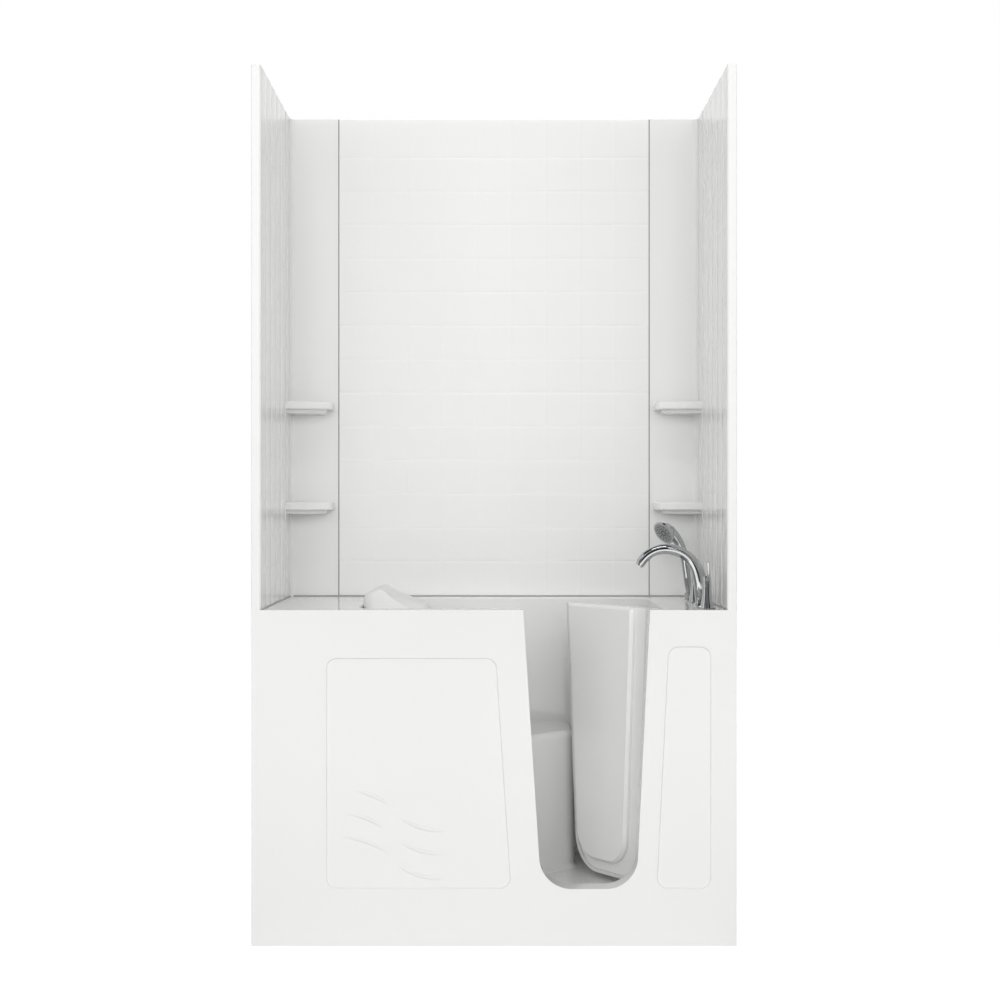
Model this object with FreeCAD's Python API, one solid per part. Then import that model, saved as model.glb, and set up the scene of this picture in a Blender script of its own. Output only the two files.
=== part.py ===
"""Walk-in jetted bathtub: moulded shell with an inward door, tiled surround and deck taps (mm)."""
import FreeCAD, Part
import math
import os

V = FreeCAD.Vector

# Overall sizes
tub_length = 1350.0
tub_depth = 710.0
rim_height = 937.0
surround_height = 1517.0

# Moulded shell
shell_wall = 8.0
left_deck = 291.0
right_deck = 193.0
back_deck = 68.0
jamb_depth = 70.0
backrest_run = 94.0
seat_height = 545.0
well_floor = 130.0
basin_corner = 60.0
hinge_corner = 6.0
seat_sweep = 58.0
seat_corner = 60.0
seat_nose = 20.0
floor_cove = 14.0
rim_round = 7.0
flange_height = 25.0

# Front apron with its sunk fields and wave ribs
apron_skin = 8.0
apron_lift = 3.0
field_depth = 3.0
field_slope = 9.0
field_corner = 30.0
left_field_inset = 208.0
left_field_top = 133.0
left_field_margin = 83.0
right_field_inset = 71.0
right_field_top = 101.0
right_field_margin = 55.0
field_bottom = 162.0
wave_radius = 8.0
wave_height = 2.6
wave_crests = (
    ((79.0, 274.0), (133.0, 258.0), (178.0, 231.0)),
    ((50.0, 210.0), (108.0, 198.0), (161.0, 168.0)),
    ((40.0, 146.0), (112.0, 131.0), (177.0, 97.0)),
)
wave_troughs = (
    ((200.0, 202.0), (258.0, 172.0), (338.0, 162.0)),
    ((204.0, 131.0), (262.0, 106.0), (338.0, 97.0)),
    ((200.0, 67.0), (256.0, 38.0), (332.0, 31.0)),
)

# Doorway, a tapered U that is open at the rim
opening_inset = 48.0
opening_width = 353.0
opening_left_taper = 50.0
opening_right_taper = 38.0
sill_height = 162.0
sill_corner = 90.0

# Door, hinge and latch
door_rest = 55.0
door_overlap = 15.0
door_thickness = 30.0
door_plug = 18.0
plug_hinge_inset = 45.0
plug_free_inset = 5.0
plug_sill_inset = 25.0
plug_bevel = 8.0
plug_corner = 80.0
door_top_gap = 2.0
seal_gap = 0.3
seal_thickness = 5.7
seal_width = 10.0
seal_edge = 2.0
door_tip_gap = 12.0
hinge_offset = 24.0
hinge_standoff = 20.0
hinge_heights = (260.0, 550.0, 840.0)
knuckle_radius = 8.0
knuckle_length = 28.0
knuckle_gap = 0.5
pin_radius = 4.0
pin_clearance = 0.05
leaf_thickness = 3.0
leaf_reach = 62.0
jamb_leaf_width = 26.0
latch_inset = 44.0
latch_height = 760.0
latch_spindle = 6.0
latch_hub = 15.0
latch_lever_length = 110.0
latch_tongue = 66.0
latch_tongue_width = 21.0
latch_lever_width = 18.0
latch_plate = 9.0
strike_width = 34.0
strike_height = 60.0
strike_depth = 30.0

# Surround
panel_thickness = 9.0
trim_width = 18.0
trim_depth = 15.0
trim_round = 3.0
tile_pitch_x = 109.6
tile_pitch_z = 107.0
bottom_row = 111.0
groove_width = 5.0
groove_depth = 1.6
seam_gap = 2.0
lap_width = 18.0
lap_thickness = 3.0
column_back_leg = 153.0
column_side_leg = 121.0
column_cove = 18.0
shelf_tops = (300.0, 615.0)
shelf_thickness = 26.0
shelf_back_reach = 143.0
shelf_round = 40.0
shelf_nose = 20.0
shelf_edge = 6.5
shelf_belly = 12.0
shelf_belly_inset = 22.0

# Headrest cushion
headrest_length = 300.0
headrest_rise = 47.0
headrest_reach = 190.0
headrest_drop = 70.0
headrest_dip = 18.0
headrest_gap = 0.3
headrest_stations = ((-0.5, 0.45, 0.0), (-0.44, 0.85, 0.0), (-0.3, 1.0, 0.0), (0.0, 1.0, 1.0),
                     (0.3, 1.0, 0.0), (0.44, 0.85, 0.0), (0.5, 0.45, 0.0))
headrest_end_reach = 0.9
headrest_crest = (14.0, 62.0)
headrest_lip = (12.0, 14.0, 26.0)
headrest_rounds = (6.0, 8.0, 10.0, 16.0, 8.0, 8.0)

# Deck taps and hand shower
faucet_inset = 75.0
hot_tap_depth = 63.0
spout_depth = 212.0
cold_tap_depth = 352.0
shower_depth = 484.0
deck_hole_gap = 0.5
shank_radius = 10.4
shank_length = 110.0
deck_nut_overhang = 8.0
deck_nut_height = 10.0
tap_base_radius = 20.5
tap_waist_radius = 15.6
tap_neck_radius = 12.6
tap_waist_share = 0.36
tap_body_height = 66.0
tap_ring = 3.0
lever_hub_radius = 11.8
lever_hub_height = 22.0
lever_rise = 56.0
lever_reach = 46.0
lever_lean = 4.0
lever_bend = (0.6, 0.3)
lever_radii = (6.0, 4.6, 3.4)
hub_dome = 4.0
spout_height = 164.0
spout_span = 177.0
spout_foot_radius = 16.5
spout_course = ((0.0, 0.26, 18.6), (0.02, 0.48, 20.2), (0.14, 0.78, 16.6), (0.33, 0.94, 15.3),
                (0.59, 1.0, 15.0), (0.85, 0.91, 14.0), (1.0, 0.73, 12.8))
aerator_length = 5.0
aerator_rim = 2.0
flange_radius = 22.0
flange_top_radius = 17.5
flange_rise = 8.0
holder_radius = 14.5
holder_height = 24.0
holder_foot = (3.0, 4.0)
socket_radius = 10.8
socket_rise = 6.0
seat_gap = 0.3
handle_radius = 10.0
handle_length = 128.0
handle_lean = 8.0
handle_swell = (1.5, 3.0, 4.5, 6.5)
neck_bow = 8.0
head_radius = 38.0
head_depth = 30.0
head_rim = 6.0
head_back_radius = 17.0
face_radius = 33.0
face_thickness = 3.0
spray_left = 83.0
spray_forward = 14.0
spray_rise = 204.0
spray_look = V(-0.70, -0.48, -0.53)

# Frame and feet
frame_section = 30.0
foot_height = 20.0
foot_radius = 22.0
foot_pad = 6.0
foot_taper = 4.0
stem_radius = 6.0
stem_clearance = 0.2
stem_top_gap = 10.0
nut_flats = 20.0
nut_height = 8.0
foot_setback = 45.0
end_rail_inset = 30.0
back_rail_gap = 75.0
post_section = 25.0

# Drain and overflow
drain_inset = 92.0
drain_back_gap = 110.0
drain_radius = 24.15
drain_barrel = 29.0
drain_flange = 40.0
drain_flange_height = 4.0
drain_depth = 90.0
drain_tail = 46.0
waste_gap = 2.0
stopper_radius = 17.0
throat_gap = 1.0
guide_gap = 0.1
guide_height = 6.0
stopper_gap = 0.3
stopper_overhang = 4.0
stopper_cap = 5.0
overflow_height = 780.0
overflow_radius = 34.0
overflow_plate = 6.0
overflow_grip_radius = 27.0
overflow_grip = 12.0
overflow_ear_round = 4.0
knob_gap = 0.3
overflow_pipe_radius = 16.0
overflow_spigot = 4.0
waste_offset = 34.0
waste_bend = 24.0

# Water jets, pump and controls
jet_hole_radius = 22.0
jet_flange_radius = 32.0
jet_flange = 5.0
jet_flange_taper = 3.0
jet_nut = 8.0
jet_nut_overhang = 6.0
jet_depth = 36.0
nozzle_radius = 17.0
nozzle_gap = 0.1
nozzle_end_gap = 0.3
nozzle_rise = 3.0
jet_height = 690.0
foot_jet_height = 300.0
seat_jets = (-170.0, -30.0)
foot_jets = (300.0, 380.0)
spigot_radius = 10.0
manifold_radius = 14.0
manifold_drop = 46.0
manifold_offset = 2.0
pipe_radius = 20.0
pipe_bend = 30.0
branch_radius = 12.0
suction_height = 205.0
suction_back_gap = 97.0
suction_radius = 46.0
suction_rise = 14.0
suction_top_radius = 34.5
suction_neck = 6.0
suction_slots = 8
suction_slot_radius = 5.0
suction_slot_depth = 5.0
pump_radius = 78.0
pump_wet_length = 90.0
pump_inlet = 14.0
pump_neck = 20.0
inlet_overhang = 8.0
outlet_overhang = 6.0
outlet_rise = 24.0
pump_motor_radius = 66.0
pump_motor_length = 230.0
motor_cowl = 46.0
motor_shield = 16.0
motor_fins = 24
fin_height = 4.0
fin_thickness = 3.0
cradle_gap = 0.3
cradle_width = 106.0
pump_face = -20.0
plate_length = 150.0
plate_height = 52.0
plate_thickness = 4.0
plate_corner = 25.0
plate_x = -150.0
plate_z = 850.0
button_radius = 11.0
button_rise = 5.0
button_edge = 1.0
button_gap = 0.1
knob_radius = 15.0
knob_height = 18.0
knob_taper = 2.0
knob_flutes = 10
flute_radius = 2.2
flute_start = 4.0
knob_spindle = 5.0

# Planes that follow from the sizes above
half_length = tub_length / 2
half_depth = tub_depth / 2
apron_front = -half_depth
apron_back = apron_front + apron_skin
front_wall = apron_front + jamb_depth
back_wall = half_depth - back_deck
right_wall = half_length - right_deck
rim_left = left_deck - half_length
seat_left = rim_left + backrest_run
deck_under = rim_height - shell_wall
panel_face_x = half_length - trim_width - panel_thickness
panel_back_x = half_length - trim_width
panel_back_y = half_depth - shell_wall
panel_face_y = panel_back_y - panel_thickness
surround_top = rim_height + surround_height
opening_right = right_wall - opening_inset
opening_left = opening_right - opening_width
opening_rise = rim_height - sill_height
hinge = V(opening_right + hinge_offset, front_wall + hinge_standoff, 0)
door_reach = hinge.x - opening_left + door_overlap
seat_radius = door_reach + door_tip_gap
seat_straight = hinge.x - seat_radius * math.cos(math.radians(seat_sweep))
faucet_x = half_length - faucet_inset
rail_top = foot_height + frame_section
front_rail = apron_back + frame_section / 2
back_rail = half_depth - back_rail_gap
end_rail = half_length - end_rail_inset
well_post_x = seat_straight + post_section
UP = V(0, 0, 1)


def box(x0, x1, y0, y1, z0, z1):
    return Part.makeBox(x1 - x0, y1 - y0, z1 - z0, V(x0, y0, z0))


def rod(base, radius, length, axis=UP):
    return Part.makeCylinder(radius, length, base, axis)


def cone(base, radius0, radius1, length, axis=UP):
    return Part.makeCone(radius0, radius1, length, base, axis)


def merge(shapes):
    whole = shapes[0].fuse(shapes[1:])
    return whole.removeSplitter()


def front_plane(y):
    return lambda u, v: V(u, y, v)


def level(z):
    return lambda u, v: V(u, v, z)


def across(x):
    return lambda u, v: V(x, u, v)


def rounded_wire(corners, place):
    """Closed outline through (u, v, radius) corners, each radius a tangent arc."""
    firsts = []
    lasts = []
    middles = []
    count = len(corners)
    for i in range(count):
        u, v, radius = corners[i]
        corner = V(u, v, 0)
        back = (V(*corners[i - 1][:2], 0) - corner).normalize()
        ahead = (V(*corners[(i + 1) % count][:2], 0) - corner).normalize()
        half = back.getAngle(ahead) / 2
        reach = radius / math.tan(half)
        bisector = (back + ahead).normalize()
        firsts.append(corner + back * reach)
        lasts.append(corner + ahead * reach)
        middles.append(corner + bisector * (radius / math.sin(half) - radius))
    edges = []
    for i in range(count):
        if corners[i][2] > 0:
            arc = [place(p.x, p.y) for p in (firsts[i], middles[i], lasts[i])]
            edges.append(Part.Arc(*arc).toShape())
        start = lasts[i]
        end = firsts[(i + 1) % count]
        edges.append(Part.makeLine(place(start.x, start.y), place(end.x, end.y)))
    return Part.Wire(edges)


def slab(corners, place, depth):
    return Part.Face(rounded_wire(corners, place)).extrude(depth)


def rectangle(u0, u1, v0, v1, radius=0.0):
    return [(u0, v0, radius), (u1, v0, radius), (u1, v1, radius), (u0, v1, radius)]


def tube(points, radius, bend):
    """Round pipe along straight runs joined by tangent arcs of one bend radius."""
    edges = []
    start = points[0]
    for i in range(1, len(points) - 1):
        corner = points[i]
        back = (points[i - 1] - corner).normalize()
        ahead = (points[i + 1] - corner).normalize()
        half = back.getAngle(ahead) / 2
        reach = bend / math.tan(half)
        bisector = (back + ahead).normalize()
        first = corner + back * reach
        last = corner + ahead * reach
        edges.append(Part.makeLine(start, first))
        edges.append(Part.Arc(first, corner + bisector * (bend / math.sin(half) - bend), last).toShape())
        start = last
    edges.append(Part.makeLine(start, points[-1]))
    section = Part.Wire([Part.makeCircle(radius, points[0], points[1] - points[0])])
    return Part.Wire(edges).makePipeShell([section], True, False)


def round_bar(points, radii):
    """Smooth round body through points, each circle square to the line between its neighbours."""
    wires = []
    for i, (centre, radius) in enumerate(zip(points, radii)):
        axis = points[min(i + 1, len(points) - 1)] - points[max(i - 1, 0)]
        wires.append(Part.Wire([Part.makeCircle(radius, centre, axis)]))
    return Part.makeLoft(wires, True, False)


def edges_where(shape, test):
    return [e for e in shape.Edges if test(e.BoundBox)]


def opening_side(z, grow):
    """Left and right edge of the doorway at one height, grown outwards."""
    fall = (rim_height - z) / opening_rise
    left = opening_left + opening_left_taper * fall
    right = opening_right - opening_right_taper * fall
    return left - grow, right + grow


def doorway_outline(top, grow, insets=(0.0, 0.0, 0.0), corner=sill_corner):
    """Corners of the tapered U, grown by one value and inset at its free, hinge and sill sides."""
    free, hinge_side, sill = insets
    bottom = sill_height - grow + sill
    left_low, right_low = opening_side(bottom, grow)
    left_high, right_high = opening_side(top, grow)
    return [
        (left_low + free, bottom, corner + grow),
        (right_low - hinge_side, bottom, corner + grow),
        (right_high - hinge_side, top, 0),
        (left_high + free, top, 0),
    ]


def doorway(top, grow, place, depth):
    return slab(doorway_outline(top, grow), place, depth)


def swing_open(shape):
    """Turn a door piece from the closed position to the half-open rest position."""
    turned = shape.copy()
    turned.rotate(hinge, UP, -door_rest)
    return turned


# Positions of the water jets as (x, wall y, z, direction into the basin)
jets = [(x, back_wall, jet_height, -1) for x in seat_jets]
jets += [(x, front_wall, jet_height, 1) for x in seat_jets]
jets += [(x, back_wall, foot_jet_height, -1) for x in foot_jets]

drain = V(right_wall - drain_inset, back_wall - drain_back_gap, well_floor)
overflow = V(right_wall, drain.y, overflow_height)
suction = V(seat_straight, back_wall - suction_back_gap, suction_height)
plate_centre = V(plate_x, front_wall, plate_z)
button = plate_centre + V(plate_length / 4, 0, 0)
knob = plate_centre - V(plate_length / 4, 0, 0)
taps = {
    "hot": V(faucet_x, apron_front + hot_tap_depth, rim_height),
    "cold": V(faucet_x, apron_front + cold_tap_depth, rim_height),
}
spout_base = V(faucet_x, apron_front + spout_depth, rim_height)
shower_base = V(faucet_x, apron_front + shower_depth, rim_height)


def basin(grow, top):
    """Seat hollow with its sloping backrest; grown by the wall it is the outside of the shell."""
    round_left = basin_corner + grow
    round_hinge = hinge_corner + grow
    wires = []
    for z, left in ((seat_height - grow, seat_left), (top, rim_left)):
        corners = [
            (left - grow, front_wall - grow, round_left),
            (right_wall + grow, front_wall - grow, round_hinge),
            (right_wall + grow, back_wall + grow, round_left),
            (left - grow, back_wall + grow, round_left),
        ]
        wires.append(rounded_wire(corners, level(z)))
    return Part.makeLoft(wires, True, True)


def foot_well(grow):
    """Foot well whose seat side is an arc about the door hinge, so that the door tip swings clear."""
    low = well_floor - grow
    height = seat_height + seat_nose - low
    disc = rod(V(hinge.x, hinge.y, low), seat_radius + grow, height)
    half = box(hinge.x - 2 * seat_radius, hinge.x, front_wall - grow, back_wall + grow, low, low + height)
    corners = [
        (seat_straight - grow, front_wall - grow, 0),
        (right_wall + grow, front_wall - grow, hinge_corner + grow),
        (right_wall + grow, back_wall + grow, basin_corner + grow),
        (seat_straight - grow, back_wall + grow, 0),
    ]
    well = disc.common(half).fuse(slab(corners, level(low), V(0, 0, height))).removeSplitter()
    bend = edges_where(well, lambda b: b.ZLength > height - 1 and b.XLength < 1 and b.YLength < 1
                       and abs(b.XMin - seat_straight + grow) < 1 and b.YMin < back_wall - basin_corner)
    return well.makeFillet(seat_corner - grow, bend)


def make_shell():
    lip = shell_wall
    plate = box(-panel_back_x - lip, panel_back_x + lip, apron_back, half_depth, deck_under, rim_height)
    under_seat = box(-half_length, half_length, -half_depth, half_depth, 0, seat_height)
    jamb = doorway(rim_height, shell_wall, front_plane(apron_back), V(0, jamb_depth - apron_skin, 0))
    outer = merge([plate, basin(shell_wall, rim_height), foot_well(shell_wall).common(under_seat), jamb])
    shell = outer.cut([basin(0, rim_height), foot_well(0)])
    nose = edges_where(shell, lambda b: b.ZLength < 1 and abs(b.ZMax - seat_height) < 1
                       and b.XMin > hinge.x - seat_radius - 1 and b.XMax < seat_straight + 1)
    shell = shell.makeFillet(seat_nose, nose)
    cove = edges_where(shell, lambda b: b.ZLength < 1 and abs(b.ZMax - well_floor) < 1)
    shell = shell.makeFillet(floor_cove, cove)
    rim = edges_where(shell, lambda b: b.ZLength < 1 and abs(b.ZMax - rim_height) < 1
                      and b.XMin > rim_left - 1 and b.XMax < right_wall + 1
                      and b.YMin > front_wall - 1 and b.YMax < back_wall + 1)
    shell = shell.makeFillet(rim_round, rim)
    shell = shell.cut(doorway(rim_height + lip, 0, front_plane(apron_back), V(0, jamb_depth, 0)))
    flange_top = rim_height + flange_height
    back = box(-panel_back_x - lip, panel_back_x + lip, panel_back_y, half_depth, rim_height, flange_top)
    left = box(-panel_back_x - lip, -panel_back_x, apron_front + trim_depth, panel_back_y,
               rim_height, flange_top)
    return merge([shell, back, left, mirrored(left)]).cut(shell_holes())


def shell_holes():
    holes = []
    drop = V(0, 0, -2 * shell_wall)
    inwards = V(0, -2 * shell_wall, 0)
    right = V(1, 0, 0)
    back = V(0, 1, 0)
    for base in (taps["hot"], taps["cold"], spout_base, shower_base):
        holes.append(rod(base + drop, shank_radius + deck_hole_gap, 3 * shell_wall))
    holes.append(rod(drain + drop, drain_barrel, 3 * shell_wall))
    holes.append(rod(overflow - right * shell_wall, overflow_pipe_radius, 3 * shell_wall, right))
    holes.append(rod(suction - right * 2 * shell_wall, pipe_radius, 3 * shell_wall, right))
    for x, y, z, _ in jets:
        holes.append(rod(V(x, y, z) + inwards, jet_hole_radius, 4 * shell_wall, back))
    for centre, radius in ((button, button_radius), (knob, knob_spindle)):
        holes.append(rod(centre + inwards, radius + deck_hole_gap, 3 * shell_wall, back))
    return holes


def make_apron():
    skin = box(-half_length, half_length, apron_front, apron_back, apron_lift, rim_height)
    through = doorway(rim_height + apron_skin, 0, front_plane(apron_front - apron_skin),
                      V(0, 3 * apron_skin, 0))
    skin = skin.cut([through, left_field(), right_field()])
    return merge([skin] + [wave_rib(*line) for line in wave_lines()])


def field_cut(corners):
    """Sunk field with sloping sides, from an outline on the apron face."""
    outer = rounded_wire([(u, v, field_corner) for u, v in corners], front_plane(apron_front))
    middle_u = sum(u for u, v in corners) / len(corners)
    middle_v = sum(v for u, v in corners) / len(corners)
    inner_corners = []
    for u, v in corners:
        inner_u = u - math.copysign(field_slope, u - middle_u)
        inner_v = v - math.copysign(field_slope, v - middle_v)
        inner_corners.append((inner_u, inner_v, field_corner - field_slope))
    inner = rounded_wire(inner_corners, front_plane(apron_front + field_depth))
    return Part.makeLoft([outer, inner], True, True)


def left_field():
    top = rim_height - left_field_top
    left = left_field_inset - half_length
    low = opening_side(field_bottom, left_field_margin)[0]
    high = opening_side(top, left_field_margin)[0]
    return field_cut([(left, field_bottom), (low, field_bottom), (high, top), (left, top)])


def right_field():
    top = rim_height - right_field_top
    right = half_length - right_field_inset
    low = opening_side(field_bottom, right_field_margin)[1]
    high = opening_side(top, right_field_margin)[1]
    return field_cut([(low, field_bottom), (right, field_bottom), (right, top), (high, top)])


def wave_lines():
    """Start, crown and end of the ripple ribs, moved to the field's lower left corner."""
    left = left_field_inset - half_length
    return [[(left + u, field_bottom + v) for u, v in line] for line in wave_crests + wave_troughs]


def wave_rib(start, middle, end):
    """Ridge that swells out of the sunk field along an arc and fades into it at both ends."""
    floor = apron_front + field_depth
    ends = [V(u, floor + wave_radius, v) for u, v in (start, end)]
    crown = V(middle[0], floor + wave_radius - wave_height, middle[1])
    path = Part.Arc(ends[0], crown, ends[1]).toShape()
    tangent = path.tangentAt(path.FirstParameter)
    section = Part.Wire([Part.makeCircle(wave_radius, ends[0], tangent)])
    ridge = Part.Wire([path]).makePipeShell([section], True, False)
    return ridge.common(box(-half_length, half_length, apron_front, floor + field_depth / 2, 0, rim_height))


def make_door():
    """Door slab with its raised outer plug and the hole of the latch spindle."""
    face = front_wall + seal_gap + seal_thickness
    step = face - door_plug + plug_bevel
    top = rim_height - door_top_gap
    panel = doorway(top, door_overlap, front_plane(face), V(0, door_thickness, 0))
    insets = (plug_free_inset, plug_hinge_inset, plug_sill_inset)
    slim = tuple(inset + plug_bevel for inset in insets)
    base = doorway_outline(top, 0, insets, plug_corner)
    tip = doorway_outline(top - plug_bevel, 0, slim, plug_corner - plug_bevel)
    plug = slab(base, front_plane(step), V(0, face - step, 0))
    bevel = Part.makeLoft([rounded_wire(base, front_plane(step)),
                           rounded_wire(tip, front_plane(face - door_plug))], True, True)
    door = merge([panel, plug, bevel])
    spindle = latch_centre() - V(0, door_thickness, 0)
    hole = rod(spindle, latch_spindle + pin_clearance, 2 * door_thickness, V(0, 1, 0))
    return swing_open(door.cut(hole))


def door_inner_face():
    return front_wall + seal_gap + seal_thickness + door_thickness


def latch_centre():
    left = opening_side(latch_height, door_overlap)[0]
    return V(left + latch_inset, door_inner_face(), latch_height)


def make_seal():
    """U-shaped gasket on the outer face of the door flange."""
    face = front_wall + seal_gap
    top = rim_height - door_top_gap
    edge = door_overlap - seal_edge
    outer = doorway(top, edge, front_plane(face), V(0, seal_thickness, 0))
    inner = doorway(top + seal_width, edge - seal_width, front_plane(face - seal_thickness),
                    V(0, 3 * seal_thickness, 0))
    return swing_open(outer.cut(inner))


def knuckle(z0, z1):
    return rod(V(hinge.x, hinge.y, z0), knuckle_radius, z1 - z0)


def hinge_bore(z0, z1):
    start = V(hinge.x, hinge.y, z0 - knuckle_gap)
    return rod(start, pin_radius + pin_clearance, z1 - z0 + 2 * knuckle_gap)


def make_hinges():
    """Fixed leaves, door leaves and pins of the butt hinges, one triple for each height."""
    fixed = []
    moving = []
    pins = []
    inner = door_inner_face()
    web_left = hinge.x - leaf_thickness
    web_right = hinge.x + leaf_thickness
    for middle in hinge_heights:
        z = [middle + (k - 1.5) * knuckle_length for k in range(4)]
        plate_x0 = right_wall - hinge_corner - jamb_leaf_width
        pieces = [box(plate_x0, plate_x0 + jamb_leaf_width, front_wall, front_wall + leaf_thickness,
                      z[0], z[3])]
        for low, high in ((z[0], z[1]), (z[2], z[3])):
            pieces += [box(web_left, web_right, front_wall, hinge.y, low, high), knuckle(low, high)]
        fixed.append(merge(pieces).cut(hinge_bore(z[0], z[3])))
        low = z[1] + knuckle_gap
        high = z[2] - knuckle_gap
        strap = box(web_left - leaf_reach, web_right, inner, inner + leaf_thickness, low, high)
        arm = box(web_left, web_right, hinge.y, inner, low, high)
        moving.append(swing_open(merge([strap, arm, knuckle(low, high)]).cut(hinge_bore(low, high))))
        pin = rod(V(hinge.x, hinge.y, z[0]), pin_radius, z[3] - z[0])
        head = cone(V(hinge.x, hinge.y, z[3]), knuckle_radius, pin_radius, pin_radius)
        pins.append(merge([pin, head]))
    return fixed, moving, pins


def make_latch():
    """Lever on the inner door face with its tongue; in the rest position the tongue points down."""
    centre = latch_centre()
    out = V(0, 1, 0)
    half_tongue = latch_tongue_width / 2
    half_lever = latch_lever_width / 2
    spindle = rod(centre - V(0, door_thickness / 2, 0), latch_spindle, door_thickness / 2, out)
    hub = rod(centre, latch_hub, 2 * latch_plate, out)
    tongue = slab(rectangle(centre.x - half_tongue, centre.x + half_tongue, centre.z - latch_tongue,
                            centre.z, latch_spindle), front_plane(centre.y), V(0, latch_plate, 0))
    lever = slab(rectangle(centre.x, centre.x + latch_lever_length, centre.z - half_lever,
                           centre.z + half_lever, latch_spindle),
                 front_plane(centre.y + latch_plate), V(0, latch_plate, 0))
    return swing_open(merge([spindle, hub, tongue, lever]))


def make_strike():
    """Keeper block on the front wall, beside the doorway and clear of the door tip."""
    right = hinge.x - seat_radius
    corners = rectangle(right - strike_width, right, latch_height - strike_height / 2,
                        latch_height + strike_height / 2, latch_spindle)
    return slab(corners, front_plane(front_wall), V(0, strike_depth - latch_plate, 0))


def groove(start, run, normal):
    """V-shaped tile joint: a triangular bar laid into a panel face."""
    reach = run.cross(normal).normalize() * (groove_width / 2)
    top = start + normal * groove_depth
    corners = [top + reach, start - normal * groove_depth, top - reach]
    return Part.Face(Part.makePolygon(corners + corners[:1])).extrude(run)


def tile_levels():
    count = int((surround_height - bottom_row - tile_pitch_z / 2) / tile_pitch_z) + 1
    return [rim_height + bottom_row + k * tile_pitch_z for k in range(count)]


def make_back_panel():
    half = panel_face_x - column_back_leg - seam_gap
    panel = box(-half, half, panel_face_y, panel_back_y, rim_height, surround_top)
    columns = int(2 * half / tile_pitch_x + 0.5)
    pitch = 2 * half / columns
    front = V(0, -1, 0)
    cuts = []
    for k in range(1, columns):
        cuts.append(groove(V(-half + k * pitch, panel_face_y, rim_height), V(0, 0, surround_height), front))
    for z in tile_levels():
        cuts.append(groove(V(-half, panel_face_y, z), V(2 * half, 0, 0), front))
    rebate = half - lap_width
    for x0, x1 in ((-half, -rebate), (rebate, half)):
        cuts.append(box(x0, x1, panel_back_y - lap_thickness, panel_back_y, rim_height, surround_top))
    return panel.cut(cuts)


def make_right_panel():
    end = panel_face_y - column_side_leg - seam_gap
    panel = box(panel_face_x, panel_back_x, apron_front, end, rim_height, surround_top)
    left = V(-1, 0, 0)
    cuts = []
    for k in range(1, int((end - apron_front) / tile_pitch_x) + 1):
        start = V(panel_face_x, end - k * tile_pitch_x, rim_height)
        cuts.append(groove(start, V(0, 0, surround_height), left))
    for z in tile_levels():
        cuts.append(groove(V(panel_face_x, apron_front, z), V(0, end - apron_front, 0), left))
    cuts.append(box(panel_back_x - lap_thickness, panel_back_x, end - lap_width, end,
                    rim_height, surround_top))
    return panel.cut(cuts)


def make_right_column():
    """Smooth corner piece with lap tongues behind the panels and two moulded shelves."""
    height = V(0, 0, surround_height)
    inner_x = panel_face_x - column_back_leg
    inner_y = panel_face_y - column_side_leg
    corners = [
        (inner_x, panel_back_y, 0), (inner_x, panel_face_y, 0),
        (panel_face_x, panel_face_y, column_cove), (panel_face_x, inner_y, 0),
        (panel_back_x, inner_y, 0), (panel_back_x, panel_back_y, 0),
    ]
    body = slab(corners, level(rim_height), height)
    tongue_gap = seam_gap + lap_width
    back_lap = box(inner_x - tongue_gap, inner_x, panel_back_y - lap_thickness, panel_back_y,
                   rim_height, surround_top)
    side_lap = box(panel_back_x - lap_thickness, panel_back_x, inner_y - tongue_gap, inner_y,
                   rim_height, surround_top)
    pieces = [body, back_lap, side_lap]
    for rise in shelf_tops:
        pieces.append(make_shelf(rim_height + rise))
    return merge(pieces)


def shelf_plate(inset, low, high, edge_levels, edge):
    """Corner plate: straight along both walls, a flat front and one rounded nose, edges eased."""
    back = panel_face_y + panel_thickness / 2
    side = panel_face_x + panel_thickness / 2
    front = panel_face_y - column_side_leg + inset
    nose = panel_face_x - shelf_back_reach + inset
    corners = [
        (side, front, 0), (side, back, 0), (nose, back, 0),
        (nose, front + shelf_nose, shelf_nose), (nose + 2 * shelf_round, front, shelf_round),
    ]
    plate = slab(corners, level(low), V(0, 0, high - low))
    free = edges_where(plate, lambda b: b.ZLength < 1 and b.YMin < back - 1 and b.XMin < side - 1
                       and min(abs(b.ZMin - z) for z in edge_levels) < 1)
    return plate.makeFillet(edge, free)


def make_shelf(top):
    """Shelf with eased edges over a shallow belly that stiffens it underneath."""
    under = top - shelf_thickness
    low = under - shelf_belly
    plate = shelf_plate(0, under, top, (under, top), shelf_edge)
    belly = shelf_plate(shelf_belly_inset, low, under + shelf_edge, (low,), shelf_belly - 1)
    return plate.fuse(belly)


def make_right_trim():
    corners = [
        (panel_back_x, apron_front, 0), (half_length, apron_front, trim_round),
        (half_length, apron_front + trim_depth, 0), (panel_back_x, apron_front + trim_depth, 0),
    ]
    return slab(corners, level(rim_height), V(0, 0, surround_height))


def mirrored(shape):
    return shape.mirror(V(0, 0, 0), V(1, 0, 0))


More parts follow.
